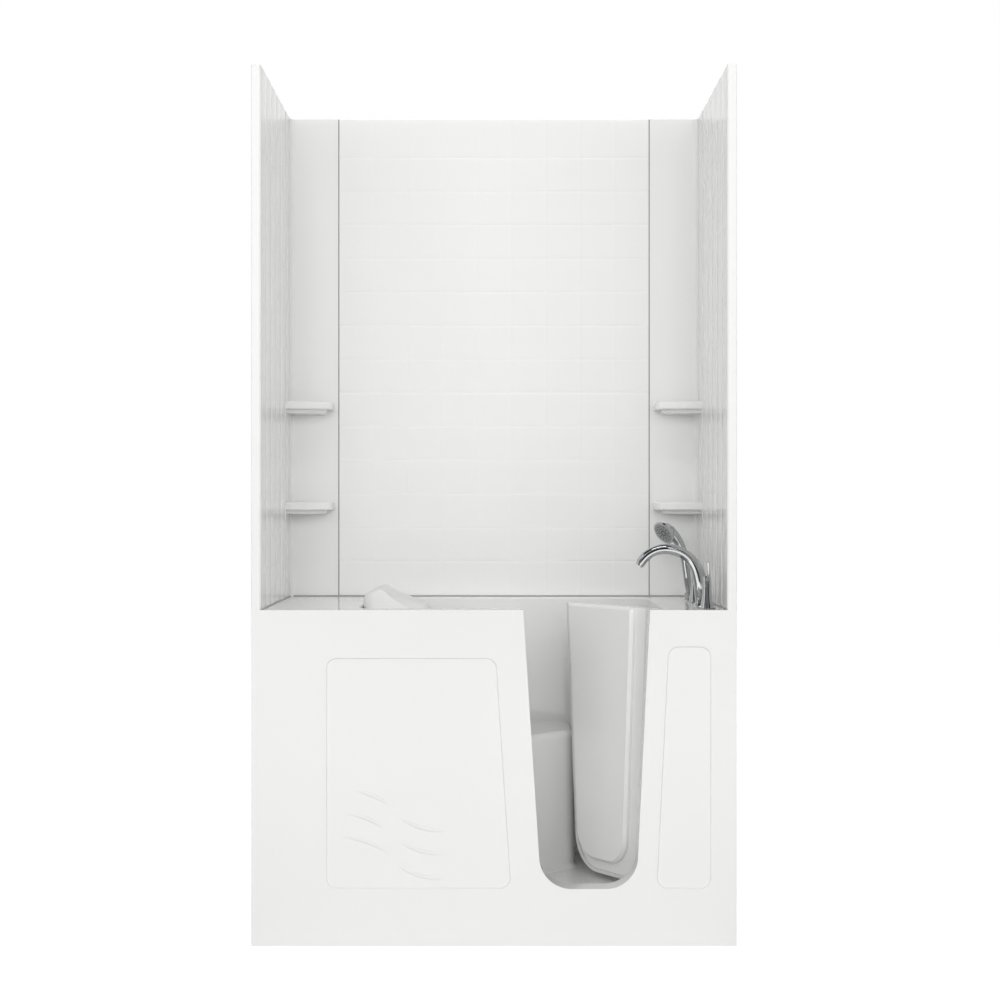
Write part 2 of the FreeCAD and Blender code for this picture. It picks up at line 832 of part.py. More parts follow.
def make_headrest():
    """Neck cushion: a wedge hung on the backrest, with lobed ends and a dip for the neck."""
    middle = (front_wall + back_wall) / 2
    slope = backrest_run / (rim_height - seat_height)
    crest_left, crest_right = headrest_crest
    lip_back, lip_top, lip_low = headrest_lip
    wires = []
    for along, share, dip in headrest_stations:
        top = rim_height + (headrest_rise - headrest_dip * dip) * share
        reach = headrest_reach * (headrest_end_reach + (1 - headrest_end_reach) * share)
        drop = headrest_drop * share
        low_x = rim_left + slope * drop + headrest_gap
        points = [
            (low_x, rim_height - drop), (low_x - slope * drop, rim_height), (rim_left + crest_left, top),
            (rim_left + crest_right, top), (rim_left + reach, rim_height - lip_top),
            (rim_left + reach - lip_back, rim_height - lip_low),
        ]
        corners = [(u, v, radius) for (u, v), radius in zip(points, headrest_rounds)]
        wires.append(rounded_wire(corners, front_plane(middle + along * headrest_length)))
    return Part.makeLoft(wires, True, True)


def shank(base, length):
    """Threaded tail through the deck with its nut."""
    stem = rod(base - V(0, 0, length), shank_radius, length)
    nut_low = base - UP * (shell_wall + deck_nut_height)
    nut = rod(nut_low, shank_radius + deck_nut_overhang, deck_nut_height)
    return [stem, nut]


def make_tap(base):
    """Flared tap body on its base ring, with a threaded shank through the deck."""
    ring = rod(base, tap_base_radius + tap_ring, tap_ring)
    levels = (tap_ring, tap_waist_share * tap_body_height, tap_body_height)
    radii = (tap_base_radius, tap_waist_radius, tap_neck_radius)
    body = round_bar([base + UP * rise for rise in levels], radii)
    return merge([ring, body] + shank(base, shank_length))


def make_lever(base, side):
    """Round hub and a slim lever that sweeps up and away from the spout."""
    foot = base + UP * tap_body_height
    hub = rod(foot, lever_hub_radius, lever_hub_height)
    dome = cone(foot + UP * lever_hub_height, lever_hub_radius, lever_hub_radius - hub_dome, hub_dome)
    start = foot + UP * (lever_hub_height / 2)
    along, up = lever_bend
    bend = start + V(0, side * lever_reach * along, lever_rise * up)
    end = start + V(-lever_lean, side * lever_reach, lever_rise)
    return merge([hub, dome, round_bar([start, bend, end], lever_radii)])


def spout_points():
    """Middle line of the gooseneck, up from its flange, over its crest and down to the tip."""
    course = [spout_base + V(-u * spout_span, 0, v * spout_height) for u, v, radius in spout_course]
    return [spout_base + UP * flange_rise] + course


def make_spout():
    neck = round_bar(spout_points(), [spout_foot_radius] + [radius for u, v, radius in spout_course])
    collar = rod(spout_base, shank_radius, 2 * flange_rise)
    return merge([neck, collar] + shank(spout_base, shank_length))


def make_spout_flange():
    ring = cone(spout_base, flange_radius, flange_top_radius, flange_rise)
    return ring.cut(rod(spout_base - UP * flange_rise, shank_radius, 3 * flange_rise))


def make_aerator():
    before, tip = spout_points()[-2:]
    return rod(tip, spout_course[-1][2] - aerator_rim, aerator_length, tip - before)


def shower_axis():
    lean = math.radians(handle_lean)
    return V(-math.sin(lean), 0, math.cos(lean))


def shower_seat():
    return shower_base + UP * socket_rise


def make_holder():
    axis = shower_axis()
    overhang, thickness = holder_foot
    foot = rod(shower_base, holder_radius + overhang, thickness)
    collar = rod(shower_base - axis * thickness, holder_radius, holder_height + thickness, axis)
    above = box(-half_length, half_length, -half_depth, half_depth, rim_height, surround_top)
    collar = collar.common(above)
    holder = merge([foot, collar] + shank(shower_base, shank_length / 2))
    return holder.cut(rod(shower_seat(), socket_radius, 2 * holder_height, axis))


def spray_pose():
    """Centre of the spray face and the direction it looks in."""
    return shower_base + V(-spray_left, -spray_forward, spray_rise), V(spray_look).normalize()


def make_hand_shower():
    """Slim handle that stands in its socket, bows over and swells into the round spray head."""
    axis = shower_axis()
    seat = shower_seat() + axis * seat_gap
    centre, look = spray_pose()
    neck = seat + axis * handle_length
    root = centre - look * (head_depth - head_rim)
    bow = (neck + root) / 2 + V(neck_bow, 0, 0)
    points = [seat, seat + axis * holder_height, seat + axis * (handle_length / 2), neck, bow, root]
    radii = [handle_radius, handle_radius] + [handle_radius + swell for swell in handle_swell]
    back = cone(centre - look * head_depth, head_back_radius, head_radius, head_depth - head_rim, look)
    rim = rod(centre - look * head_rim, head_radius, head_rim, look)
    head = merge([round_bar(points, radii), back, rim])
    return head.cut(rod(centre - look * face_thickness, face_radius, 2 * face_thickness, look))


def make_spray_face():
    centre, look = spray_pose()
    return rod(centre - look * face_thickness, face_radius, face_thickness, look)


def foot_places():
    rows = (front_rail + foot_setback, back_rail - foot_setback)
    return [V(x, y, 0) for x in (-end_rail, hinge.x - seat_radius, end_rail) for y in rows]


def make_rails():
    """Two long rails of the base frame, under the front and the back of the tub."""
    half = frame_section / 2
    ends = end_rail + half
    return [box(-ends, ends, y - half, y + half, foot_height, rail_top) for y in (front_rail, back_rail)]


def stem_hole(place):
    start = place + UP * (foot_height - nut_height)
    return rod(start, stem_radius + stem_clearance, nut_height + frame_section - stem_top_gap)


def make_feet():
    feet = []
    for place in foot_places():
        pad = cone(place, foot_radius, foot_radius - foot_taper, foot_pad)
        stem = rod(place + UP * foot_pad, stem_radius, rail_top - stem_top_gap - foot_pad)
        feet.append(merge([pad, stem]))
    return feet


def make_nuts():
    nuts = []
    for place in foot_places():
        radius = nut_flats / math.sqrt(3)
        low = place + UP * (foot_height - nut_height)
        points = []
        for k in range(7):
            turn = math.radians(60 * k)
            points.append(low + V(math.cos(turn), math.sin(turn), 0) * radius)
        nut = Part.Face(Part.makePolygon(points)).extrude(V(0, 0, nut_height))
        nuts.append(nut.cut(rod(place, stem_radius + pin_clearance, foot_height + 1)))
    return nuts


def make_cross_rails():
    """Rails from front to back; three of them are drilled for the foot stems."""
    half = frame_section / 2
    holes = [stem_hole(place) for place in foot_places()]
    rails = []
    pump_middle = pump_face - pump_wet_length - pump_motor_length / 2
    places = (-end_rail, seat_left, pump_middle, hinge.x - seat_radius, well_post_x, end_rail)
    for x in places:
        rail = box(x - half, x + half, front_rail + half, back_rail - half, foot_height, rail_top)
        rails.append(rail.cut(holes))
    return rails


def make_posts():
    """Uprights under the deck corners, the seat and the foot-well floor."""
    half = post_section / 2
    posts = []
    corner_x = half_length - trim_width - post_section
    for x in (-corner_x, corner_x):
        for y in (front_rail, back_rail):
            posts.append(box(x - half, x + half, y - half, y + half, rail_top, deck_under))
    for y in (front_wall / 2, back_rail):
        posts.append(box(seat_left - half, seat_left + half, y - half, y + half, rail_top,
                         seat_height - shell_wall))
    for y in (front_wall / 2, back_wall / 2):
        posts.append(box(well_post_x - half, well_post_x + half, y - half, y + half,
                         rail_top, well_floor - shell_wall))
    return posts


def make_drain_body():
    """Flanged barrel through the floor, with a narrower tail for the waste connection."""
    foot = drain - UP * drain_depth
    flange = rod(drain, drain_flange, drain_flange_height)
    barrel = rod(foot + UP * drain_tail, drain_barrel, drain_depth - drain_tail)
    tail = rod(foot, drain_radius, drain_depth)
    throat = rod(foot, stopper_radius + throat_gap, drain_depth + drain_flange_height)
    return merge([flange, barrel, tail]).cut(throat)


def make_stopper():
    foot = drain - UP * (drain_depth / 2)
    seat = drain_flange_height + stopper_gap
    cap = rod(drain + UP * seat, stopper_radius + stopper_overhang, stopper_cap)
    plunger = rod(foot, stopper_radius / 3, drain_depth / 2 + seat + stopper_cap / 2)
    guide = rod(foot, stopper_radius + throat_gap - guide_gap, guide_height)
    return merge([cap, plunger, guide])


def make_overflow_plate():
    left = V(-1, 0, 0)
    plate = rod(overflow, overflow_radius, overflow_plate, left)
    spigot = rod(overflow, overflow_pipe_radius, shell_wall + overflow_spigot, V(1, 0, 0))
    start = overflow + V(overflow_radius, 0, 0)
    return merge([plate, spigot]).cut(rod(start, knob_spindle + pin_clearance, 2 * overflow_radius, left))


def make_overflow_knob():
    left = V(-1, 0, 0)
    half_ear = overflow_grip / 2
    face = overflow + left * (overflow_plate + knob_gap)
    grip = rod(face, overflow_grip_radius, overflow_grip, left)
    ear = slab(rectangle(overflow.y - half_ear, overflow.y + half_ear, overflow.z - overflow_radius,
                         overflow.z, overflow_ear_round), across(face.x), left * overflow_grip)
    spindle = rod(face - left * overflow_grip, knob_spindle, overflow_grip, left)
    return merge([grip, ear, spindle])


def make_waste_pipe():
    """Overflow pipe outside the shell that runs down and back to the drain barrel."""
    low = drain.z - shell_wall - overflow_pipe_radius - waste_gap
    outer = overflow + V(shell_wall + overflow_spigot, 0, 0)
    down = outer + V(waste_offset, 0, 0)
    course = [outer, down, V(down.x, down.y, low), V(drain.x, drain.y, low)]
    pipe = tube(course, overflow_pipe_radius, waste_bend)
    return pipe.cut(rod(drain - UP * drain_depth, drain_barrel, drain_depth))


def jet_end(y, into):
    return y - into * (shell_wall + jet_depth)


def make_jet_bodies():
    """Jet housings: a flange inside, a chamber behind the wall and a spigot down to the pipe."""
    bodies = []
    for x, y, z, into in jets:
        axis = V(0, into, 0)
        face = V(x, y, z)
        behind = face - axis * shell_wall
        ring = cone(face, jet_flange_radius, jet_flange_radius - jet_flange_taper, jet_flange, axis)
        barrel = rod(V(x, jet_end(y, into), z), jet_hole_radius, jet_depth + shell_wall, axis)
        collar = rod(behind - axis * jet_nut, jet_hole_radius + jet_nut_overhang, jet_nut, axis)
        spigot_y = manifold_y(y, into)
        spigot = rod(V(x, spigot_y, z - manifold_drop), spigot_radius, manifold_drop)
        socket = rod(behind, nozzle_radius + nozzle_gap, shell_wall + 2 * jet_flange, axis)
        pipe = manifold_rod(x - manifold_radius, x + manifold_radius, spigot_y, z)
        bodies.append(merge([ring, barrel, collar, spigot]).cut([socket, pipe]))
    return bodies


def manifold_rod(x0, x1, y, z):
    return rod(V(x0, y, z - manifold_drop), manifold_radius, x1 - x0, V(1, 0, 0))


def manifold(xs, y, z, into):
    left = min(min(xs), pump_outlet().x) - 2 * manifold_radius
    return manifold_rod(left, max(xs) + 2 * manifold_radius, manifold_y(y, into), z)


def make_nozzle(x, y, z, into):
    """Swivelling nozzle insert with its off-centre outlet."""
    axis = V(0, into, 0)
    start = V(x, y, z) - axis * (shell_wall - nozzle_end_gap)
    core = rod(start, nozzle_radius, shell_wall + jet_flange + nozzle_rise, axis)
    outlet = rod(start + V(nozzle_radius / 3, 0, 0), nozzle_radius / 3, 4 * shell_wall, axis)
    return core.cut(outlet)


def make_suction_cover():
    """Domed grille over the suction pipe, with a ring of round holes sunk into it."""
    right = V(1, 0, 0)
    neck_length = shell_wall + suction_neck
    dome = cone(suction, suction_radius, suction_top_radius, suction_rise, right)
    neck = rod(suction - right * neck_length, pipe_radius, neck_length, right)
    floor = suction + right * (suction_rise - suction_slot_depth)
    slots = []
    for k in range(suction_slots):
        turn = 2 * math.pi * k / suction_slots
        place = floor + V(0, math.cos(turn), math.sin(turn)) * (suction_radius / 2)
        slots.append(rod(place, suction_slot_radius, suction_rise, right))
    return merge([dome, neck]).cut(slots)


def pump_axis_point(x):
    return V(x, suction.y, suction.z)


def make_suction_pipe():
    end = suction.x - shell_wall - suction_neck
    return rod(pump_axis_point(pump_face), pipe_radius, end - pump_face, V(1, 0, 0))


def make_wet_end():
    """Volute of the pump with its inlet collar, motor neck and upright outlet."""
    left = V(-1, 0, 0)
    front = pump_axis_point(pump_face)
    volute = rod(front + left * pump_inlet, pump_radius, pump_wet_length - pump_inlet - pump_neck, left)
    inlet = rod(front, pipe_radius + inlet_overhang, pump_inlet, left)
    neck_start = front + left * (pump_wet_length - pump_neck)
    neck = cone(neck_start, pump_radius, pump_motor_radius, pump_neck, left)
    rise = pump_radius / 2 + outlet_rise
    outlet = rod(pump_outlet() - UP * rise, pipe_radius + outlet_overhang, rise)
    return merge([volute, inlet, neck, outlet])


def pump_outlet():
    return pump_axis_point(pump_face - pump_wet_length / 2) + UP * (pump_radius + outlet_rise)


def make_pump_motor():
    """Finned motor barrel with its fan cowl."""
    left = V(-1, 0, 0)
    start = pump_axis_point(pump_face - pump_wet_length)
    cowl_at = pump_motor_length - motor_cowl
    barrel = rod(start, pump_motor_radius - fin_height, pump_motor_length, left)
    cowl = rod(start + left * cowl_at, pump_motor_radius, motor_cowl, left)
    shield = rod(start, pump_motor_radius, motor_shield, left)
    half = fin_thickness / 2
    top = start.z + pump_motor_radius
    fins = []
    for k in range(motor_fins):
        fin = box(start.x - cowl_at, start.x - motor_shield, start.y - half, start.y + half,
                  top - 2 * fin_height, top)
        fin.rotate(start, left, k * 360.0 / motor_fins)
        fins.append(fin)
    return merge([barrel, cowl, shield] + fins)


def make_pump_base():
    """Cradle from the frame up to the motor barrel."""
    start = pump_face - pump_wet_length - pump_motor_length * 3 / 4
    half = cradle_width / 2
    block = box(start, start + pump_motor_length / 2, suction.y - half, suction.y + half,
                rail_top, suction.z - pump_motor_radius / 2)
    barrel_start = pump_axis_point(start - half)
    return block.cut(rod(barrel_start, pump_motor_radius + cradle_gap, pump_motor_length, V(1, 0, 0)))


def manifold_y(wall, into):
    return jet_end(wall, into) + into * (jet_depth / 2 - manifold_offset)


def make_pressure_pipe():
    """Pipe from the pump: up, back to the rear jets, with branches to the front and foot jets."""
    start = pump_outlet()
    tee = V(start.x, start.y, (seat_height + start.z) / 2)
    back = V(start.x, manifold_y(back_wall, -1), tee.z)
    front = V(start.x, manifold_y(front_wall, 1), tee.z)
    top = jet_height - manifold_drop - manifold_radius
    foot_top = foot_jet_height - manifold_drop + manifold_radius
    branch = V(0, 0, -2 * pipe_bend)
    rear = tube([start, tee, back, V(back.x, back.y, top)], manifold_radius, pipe_bend)
    fore = tube([tee + branch, front + branch, V(front.x, front.y, top)], branch_radius, pipe_bend)
    foot = rod(V(back.x, back.y, foot_top), branch_radius, tee.z - branch.z - foot_top)
    return merge([rear, fore, foot])


def make_control_plate():
    half = plate_length / 2
    rise = plate_height / 2
    back = V(0, 1, 0)
    start = back * plate_thickness
    through = 3 * plate_thickness
    corners = rectangle(plate_centre.x - half, plate_centre.x + half, plate_centre.z - rise,
                        plate_centre.z + rise, plate_corner)
    plate = slab(corners, front_plane(front_wall), start)
    return plate.cut([rod(button - start, button_radius + button_gap, through, back),
                      rod(knob - start, knob_spindle + pin_clearance, through, back)])


def make_button():
    out = V(0, 1, 0)
    edge = plate_thickness + button_rise - button_edge
    stem = rod(button - out * shell_wall, button_radius, shell_wall + edge, out)
    cap = cone(button + out * edge, button_radius, button_radius - button_edge, button_edge, out)
    return merge([stem, cap])


def make_air_knob():
    """Fluted air-control knob on its spindle."""
    out = V(0, 1, 0)
    gap = plate_thickness + knob_gap
    face = knob + out * gap
    grip = cone(face, knob_radius, knob_radius - knob_taper, knob_height, out)
    flutes = []
    for k in range(knob_flutes):
        turn = 2 * math.pi * k / knob_flutes
        place = face + V(math.cos(turn), 0, math.sin(turn)) * knob_radius + out * flute_start
        flutes.append(rod(place, flute_radius, knob_height, out))
    spindle = rod(knob - out * shell_wall, knob_spindle, shell_wall + gap, out)
    return merge([grip.cut(flutes), spindle])


def build_parts():
    fixed_leaves, door_leaves, pins = make_hinges()
    right_panel = make_right_panel()
    right_column = make_right_column()
    right_trim = make_right_trim()
    nodes = {
        "tub_shell": make_shell(),
        "front_apron": make_apron(),
        "door_panel": make_door(),
        "door_seal": make_seal(),
        "door_hinge_leaves": Part.Compound(door_leaves),
        "jamb_hinge_leaves": Part.Compound(fixed_leaves),
        "hinge_pins": Part.Compound(pins),
        "latch_lever": make_latch(),
        "latch_strike": make_strike(),
        "headrest_pillow": make_headrest(),
        "back_panel": make_back_panel(),
        "right_panel": right_panel,
        "left_panel": mirrored(right_panel),
        "right_corner_column": right_column,
        "left_corner_column": mirrored(right_column),
        "right_edge_trim": right_trim,
        "left_edge_trim": mirrored(right_trim),
        "spout": make_spout(),
        "spout_flange": make_spout_flange(),
        "spout_aerator": make_aerator(),
        "hot_valve_body": make_tap(taps["hot"]),
        "cold_valve_body": make_tap(taps["cold"]),
        "hot_lever": make_lever(taps["hot"], -1),
        "cold_lever": make_lever(taps["cold"], 1),
        "shower_holder": make_holder(),
        "hand_shower": make_hand_shower(),
        "spray_face": make_spray_face(),
        "base_rails": Part.Compound(make_rails()),
        "cross_rails": Part.Compound(make_cross_rails()),
        "frame_posts": Part.Compound(make_posts()),
        "levelling_feet": Part.Compound(make_feet()),
        "foot_lock_nuts": Part.Compound(make_nuts()),
        "drain_body": make_drain_body(),
        "drain_stopper": make_stopper(),
        "overflow_plate": make_overflow_plate(),
        "overflow_knob": make_overflow_knob(),
        "waste_pipe": make_waste_pipe(),
        "jet_bodies": Part.Compound(make_jet_bodies()),
        "back_manifold": manifold(seat_jets, back_wall, jet_height, -1),
        "front_manifold": manifold(seat_jets, front_wall, jet_height, 1),
        "foot_manifold": manifold(foot_jets, back_wall, foot_jet_height, -1),
        "suction_cover": make_suction_cover(),
        "suction_pipe": make_suction_pipe(),
        "pump_wet_end": make_wet_end(),
        "pump_motor": make_pump_motor(),
        "pump_base": make_pump_base(),
        "pressure_pipe": make_pressure_pipe(),
        "control_plate": make_control_plate(),
        "pump_button": make_button(),
        "air_control_knob": make_air_knob(),
    }
    for number, jet in enumerate(jets, start=1):
        nodes["jet_nozzle_%d" % number] = make_nozzle(*jet)
    return nodes


os.makedirs("parts", exist_ok=True)
for name, shape in build_parts().items():
    shape.exportStep("parts/%s.step" % name)
    print(name, len(shape.Solids), shape.isValid(), round(shape.Volume / 1000, 1))
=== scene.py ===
import math

import bmesh
import bpy
from mathutils import Matrix, Vector


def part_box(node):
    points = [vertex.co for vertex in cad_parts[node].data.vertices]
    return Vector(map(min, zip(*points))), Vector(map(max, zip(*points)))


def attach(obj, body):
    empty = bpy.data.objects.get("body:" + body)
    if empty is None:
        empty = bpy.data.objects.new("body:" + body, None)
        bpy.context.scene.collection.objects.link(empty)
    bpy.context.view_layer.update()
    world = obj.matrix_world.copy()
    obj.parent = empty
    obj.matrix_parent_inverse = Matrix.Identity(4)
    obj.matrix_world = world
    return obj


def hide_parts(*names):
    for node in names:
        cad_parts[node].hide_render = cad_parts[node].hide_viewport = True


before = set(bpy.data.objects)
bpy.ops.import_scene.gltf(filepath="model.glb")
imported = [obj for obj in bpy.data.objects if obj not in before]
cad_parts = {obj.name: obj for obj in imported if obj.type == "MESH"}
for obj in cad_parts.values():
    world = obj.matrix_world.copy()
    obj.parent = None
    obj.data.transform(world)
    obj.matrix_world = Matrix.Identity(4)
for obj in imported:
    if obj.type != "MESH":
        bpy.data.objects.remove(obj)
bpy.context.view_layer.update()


# Base frame: steel box section welded into rails, cross rails and posts, on six screwed feet.
# The steel is hot-dip galvanised, so flat zinc crystals a centimetre or two wide cover it.
def add(tree, kind, sockets=None, **settings):
    """One new node: its settings, then each socket linked to an output or set to a value."""
    node = tree.nodes.new(kind)
    for key, value in settings.items():
        setattr(node, key, value)
    for socket, value in (sockets or {}).items():
        if isinstance(value, bpy.types.NodeSocket):
            tree.links.new(value, node.inputs[socket])
        else:
            node.inputs[socket].default_value = value
    return node


def calc(tree, operation, *values):
    """Output of one math node."""
    return add(tree, "ShaderNodeMath", dict(enumerate(values)), operation=operation).outputs[0]


def node_group(name, kind, inputs, outputs):
    """New node group; gives the tree, its inputs and the sockets that take its results."""
    tree = bpy.data.node_groups.new(name, kind)
    for label, socket in inputs.items():
        tree.interface.new_socket(label, in_out="INPUT", socket_type="NodeSocket" + socket)
    for label, socket in outputs.items():
        tree.interface.new_socket(label, in_out="OUTPUT", socket_type="NodeSocket" + socket)
    given = tree.nodes.new("NodeGroupInput").outputs
    return tree, given, tree.nodes.new("NodeGroupOutput").inputs


def metal_grain_group():
    """Grain of worked metal: streaks along one direction that shift the roughness and the surface."""
    tree, given, result = node_group(
        "metal_grain", "ShaderNodeTree",
        {"Stretch": "Vector", "Scale": "Float", "Roughness": "Float", "Spread": "Float"},
        {"Roughness": "Float", "Height": "Float", "Cloud": "Float"})
    place = add(tree, "ShaderNodeTexCoord").outputs["Object"]
    stretched = add(tree, "ShaderNodeVectorMath", {0: place, 1: given["Stretch"]}, operation="MULTIPLY")
    streak = add(tree, "ShaderNodeTexNoise", {"Vector": stretched.outputs[0], "Scale": given["Scale"],
                                              "Detail": 3.0})
    cloud = add(tree, "ShaderNodeTexNoise", {"Vector": place, "Scale": 14.0, "Detail": 4.0})
    both = calc(tree, "ADD", streak.outputs["Fac"], cloud.outputs["Fac"])
    swing = calc(tree, "MULTIPLY", calc(tree, "SUBTRACT", both, 1.0), given["Spread"])
    tree.links.new(calc(tree, "ADD", given["Roughness"], swing), result["Roughness"])
    tree.links.new(streak.outputs["Fac"], result["Height"])
    tree.links.new(cloud.outputs["Fac"], result["Cloud"])
    return tree


metal_grain = metal_grain_group()


def new_material(name, **constants):
    """Material with one Principled shader, whose constant sockets are set by name."""
    material = bpy.data.materials.new(name)
    material.use_nodes = True
    shader = material.node_tree.nodes["Principled BSDF"]
    for socket, value in constants.items():
        shader.inputs[socket.replace("_", " ")].default_value = value
    return material, material.node_tree, shader


def metal(name, colour, stretch, scale, roughness, spread, relief):
    """Metal of one colour with its own grain; relief is the depth of the grain in metres."""
    material, tree, shader = new_material(name, Metallic=1.0, Base_Color=(*colour, 1.0))
    grain = add(tree, "ShaderNodeGroup", {"Stretch": stretch, "Scale": scale, "Roughness": roughness,
                                          "Spread": spread}, node_tree=metal_grain)
    bump = add(tree, "ShaderNodeBump", {"Height": grain.outputs["Height"], "Distance": relief,
                                        "Strength": 0.5})
    tree.links.new(grain.outputs["Roughness"], shader.inputs["Roughness"])
    tree.links.new(bump.outputs["Normal"], shader.inputs["Normal"])
    return material


def dress(material, *names):
    """Give CAD nodes a finish."""
    for name in names:
        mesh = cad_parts[name].data
        mesh.materials.clear()
        mesh.materials.append(material)


zinc_dark = (0.40, 0.42, 0.44, 1.0)
zinc_light = (0.60, 0.62, 0.64, 1.0)
galvanised = metal("galvanised_steel", (0.5, 0.5, 0.5), stretch=(1, 1, 1), scale=90.0,
                   roughness=0.42, spread=0.16, relief=0.0001)
zinc = galvanised.node_tree
crystal = add(zinc, "ShaderNodeTexVoronoi", {"Scale": 70.0, "Vector": add(
    zinc, "ShaderNodeTexCoord").outputs["Object"]})
spangle = add(zinc, "ShaderNodeMix", {"Factor": crystal.outputs["Distance"], "A": zinc_dark, "B": zinc_light},
              data_type="RGBA")
zinc.links.new(spangle.outputs["Result"], zinc.nodes["Principled BSDF"].inputs["Base Color"])
dress(galvanised, "base_rails", "cross_rails", "frame_posts", "levelling_feet", "foot_lock_nuts")


# Jet pump and its pipes: a moulded wet end and cradle, an enamelled motor barrel and solvent-welded
# white pipe. The mouldings come out of the tool with a fine even grain, the pipe with a satin skin.
def moulded_surface_group():
    """Skin of a moulded plastic: faint clouds of tone, uneven gloss and a fine ripple."""
    tree, given, result = node_group(
        "moulded_surface", "ShaderNodeTree",
        {"Colour": "Color", "Mottle": "Float", "Mottle Scale": "Float", "Roughness": "Float",
         "Spread": "Float", "Ripple Scale": "Float"},
        {"Colour": "Color", "Roughness": "Float", "Height": "Float"})
    place = add(tree, "ShaderNodeTexCoord").outputs["Object"]
    cloud = add(tree, "ShaderNodeTexNoise", {"Vector": place, "Scale": given["Mottle Scale"], "Detail": 4.0})
    swing = calc(tree, "MULTIPLY", calc(tree, "SUBTRACT", cloud.outputs["Fac"], 0.5), given["Mottle"])
    tone = calc(tree, "ADD", swing, 1.0)
    tinted = add(tree, "ShaderNodeVectorMath", {0: given["Colour"], "Scale": tone}, operation="SCALE")
    smear = add(tree, "ShaderNodeTexNoise", {"Vector": place, "Scale": 9.0, "Detail": 5.0})
    gloss = calc(tree, "MULTIPLY", calc(tree, "SUBTRACT", smear.outputs["Fac"], 0.5), given["Spread"])
    ripple = add(tree, "ShaderNodeTexNoise", {"Vector": place, "Scale": given["Ripple Scale"], "Detail": 2.0})
    tree.links.new(tinted.outputs[0], result["Colour"])
    tree.links.new(calc(tree, "ADD", given["Roughness"], gloss), result["Roughness"])
    tree.links.new(ripple.outputs["Fac"], result["Height"])
    return tree


moulded_surface = moulded_surface_group()


def moulded(name, colour, mottle, cloud, roughness, spread, ripple, relief, **constants):
    """Moulded plastic: cloud and ripple are per metre, relief is the ripple's depth in metres."""
    material, tree, shader = new_material(name, **constants)
    skin = add(tree, "ShaderNodeGroup", {"Colour": (*colour, 1.0), "Mottle": mottle, "Mottle Scale": cloud,
                                         "Roughness": roughness, "Spread": spread, "Ripple Scale": ripple},
               node_tree=moulded_surface)
    bump = add(tree, "ShaderNodeBump", {"Height": skin.outputs["Height"], "Distance": relief,
                                        "Strength": 0.6})
    tree.links.new(skin.outputs["Colour"], shader.inputs["Base Color"])
    tree.links.new(skin.outputs["Roughness"], shader.inputs["Roughness"])
    tree.links.new(bump.outputs["Normal"], shader.inputs["Normal"])
    return material


pump_moulding = moulded("pump_moulding", (0.045, 0.046, 0.05), mottle=0.3, cloud=12.0, roughness=0.5,
                        spread=0.2, ripple=900.0, relief=0.0004)
motor_enamel = moulded("motor_enamel", (0.085, 0.095, 0.11), mottle=0.25, cloud=20.0, roughness=0.38,
                       spread=0.16, ripple=320.0, relief=0.0003)
pipe_skin = moulded("white_pipe", (0.78, 0.78, 0.75), mottle=0.05, cloud=7.0, roughness=0.36,
                    spread=0.12, ripple=140.0, relief=0.0002)
dress(pump_moulding, "pump_wet_end", "pump_base")
dress(motor_enamel, "pump_motor")
dress(pipe_skin, "suction_pipe", "pressure_pipe", "back_manifold", "front_manifold", "foot_manifold",
      "waste_pipe")


# Tub shell: one thermoformed sheet of white acrylic with deck, backrest, seat and foot well.
# The sheet keeps a high gloss with a faint ripple; the foot-well floor is formed with grip dots.
# The shell's white is toned a little darker than the apron's, though both are one sheet: painted shade for
# the inside of the tub.
tub_acrylic_painted_shade = moulded("tub_acrylic_painted_shade", (0.82, 0.82, 0.81), mottle=0.03, cloud=2.2, roughness=0.07,
                      spread=0.03, ripple=26.0, relief=0.0002, IOR=1.49)
floor_top = 0.131
dot_pitch = 0.018
dot_relief = 0.0009
dot_top = 0.2
dot_foot = 0.35
grip = tub_acrylic_painted_shade.copy()
grip.name = "tub_acrylic_with_grip_floor"
skin_tree = grip.node_tree
spot = add(skin_tree, "ShaderNodeTexCoord").outputs["Object"]
height = add(skin_tree, "ShaderNodeSeparateXYZ", {0: spot}).outputs["Z"]
on_floor = calc(skin_tree, "LESS_THAN", height, floor_top)
dots = add(skin_tree, "ShaderNodeTexVoronoi", {"Vector": spot, "Scale": 1.0 / dot_pitch, "Randomness": 0.0})
dome = add(skin_tree, "ShaderNodeMapRange", {
    "Value": dots.outputs["Distance"], "From Min": dot_top, "From Max": dot_foot, "To Min": 1.0,
    "To Max": 0.0}, interpolation_type="SMOOTHSTEP")
ripple_bump = skin_tree.nodes["Bump"]
dot_bump = add(skin_tree, "ShaderNodeBump", {
    "Height": calc(skin_tree, "MULTIPLY", dome.outputs[0], on_floor), "Distance": dot_relief,
    "Normal": ripple_bump.outputs["Normal"]})
skin_tree.links.new(dot_bump.outputs["Normal"], skin_tree.nodes["Principled BSDF"].inputs["Normal"])
dress(grip, "tub_shell")


# Jets, waste fittings and controls: white moulded jet rings with turning nozzles and a suction cover
# in the walls, and a chromed drain with its lifting stopper, overflow knob, pump button and air knob.
jet_moulding = moulded("jet_moulding", (0.80, 0.80, 0.79), mottle=0.03, cloud=15.0, roughness=0.24,
                       spread=0.1, ripple=260.0, relief=0.0002)
dress(jet_moulding, "jet_bodies", "suction_cover", *["jet_nozzle_%d" % k for k in range(1, 7)])
chrome = metal("tap_chrome", (0.52, 0.53, 0.54), stretch=(1, 1, 1), scale=40.0,
               roughness=0.05, spread=0.04, relief=0.00002)
dress(chrome, "drain_body", "drain_stopper", "overflow_plate", "overflow_knob", "pump_button",
      "air_control_knob")


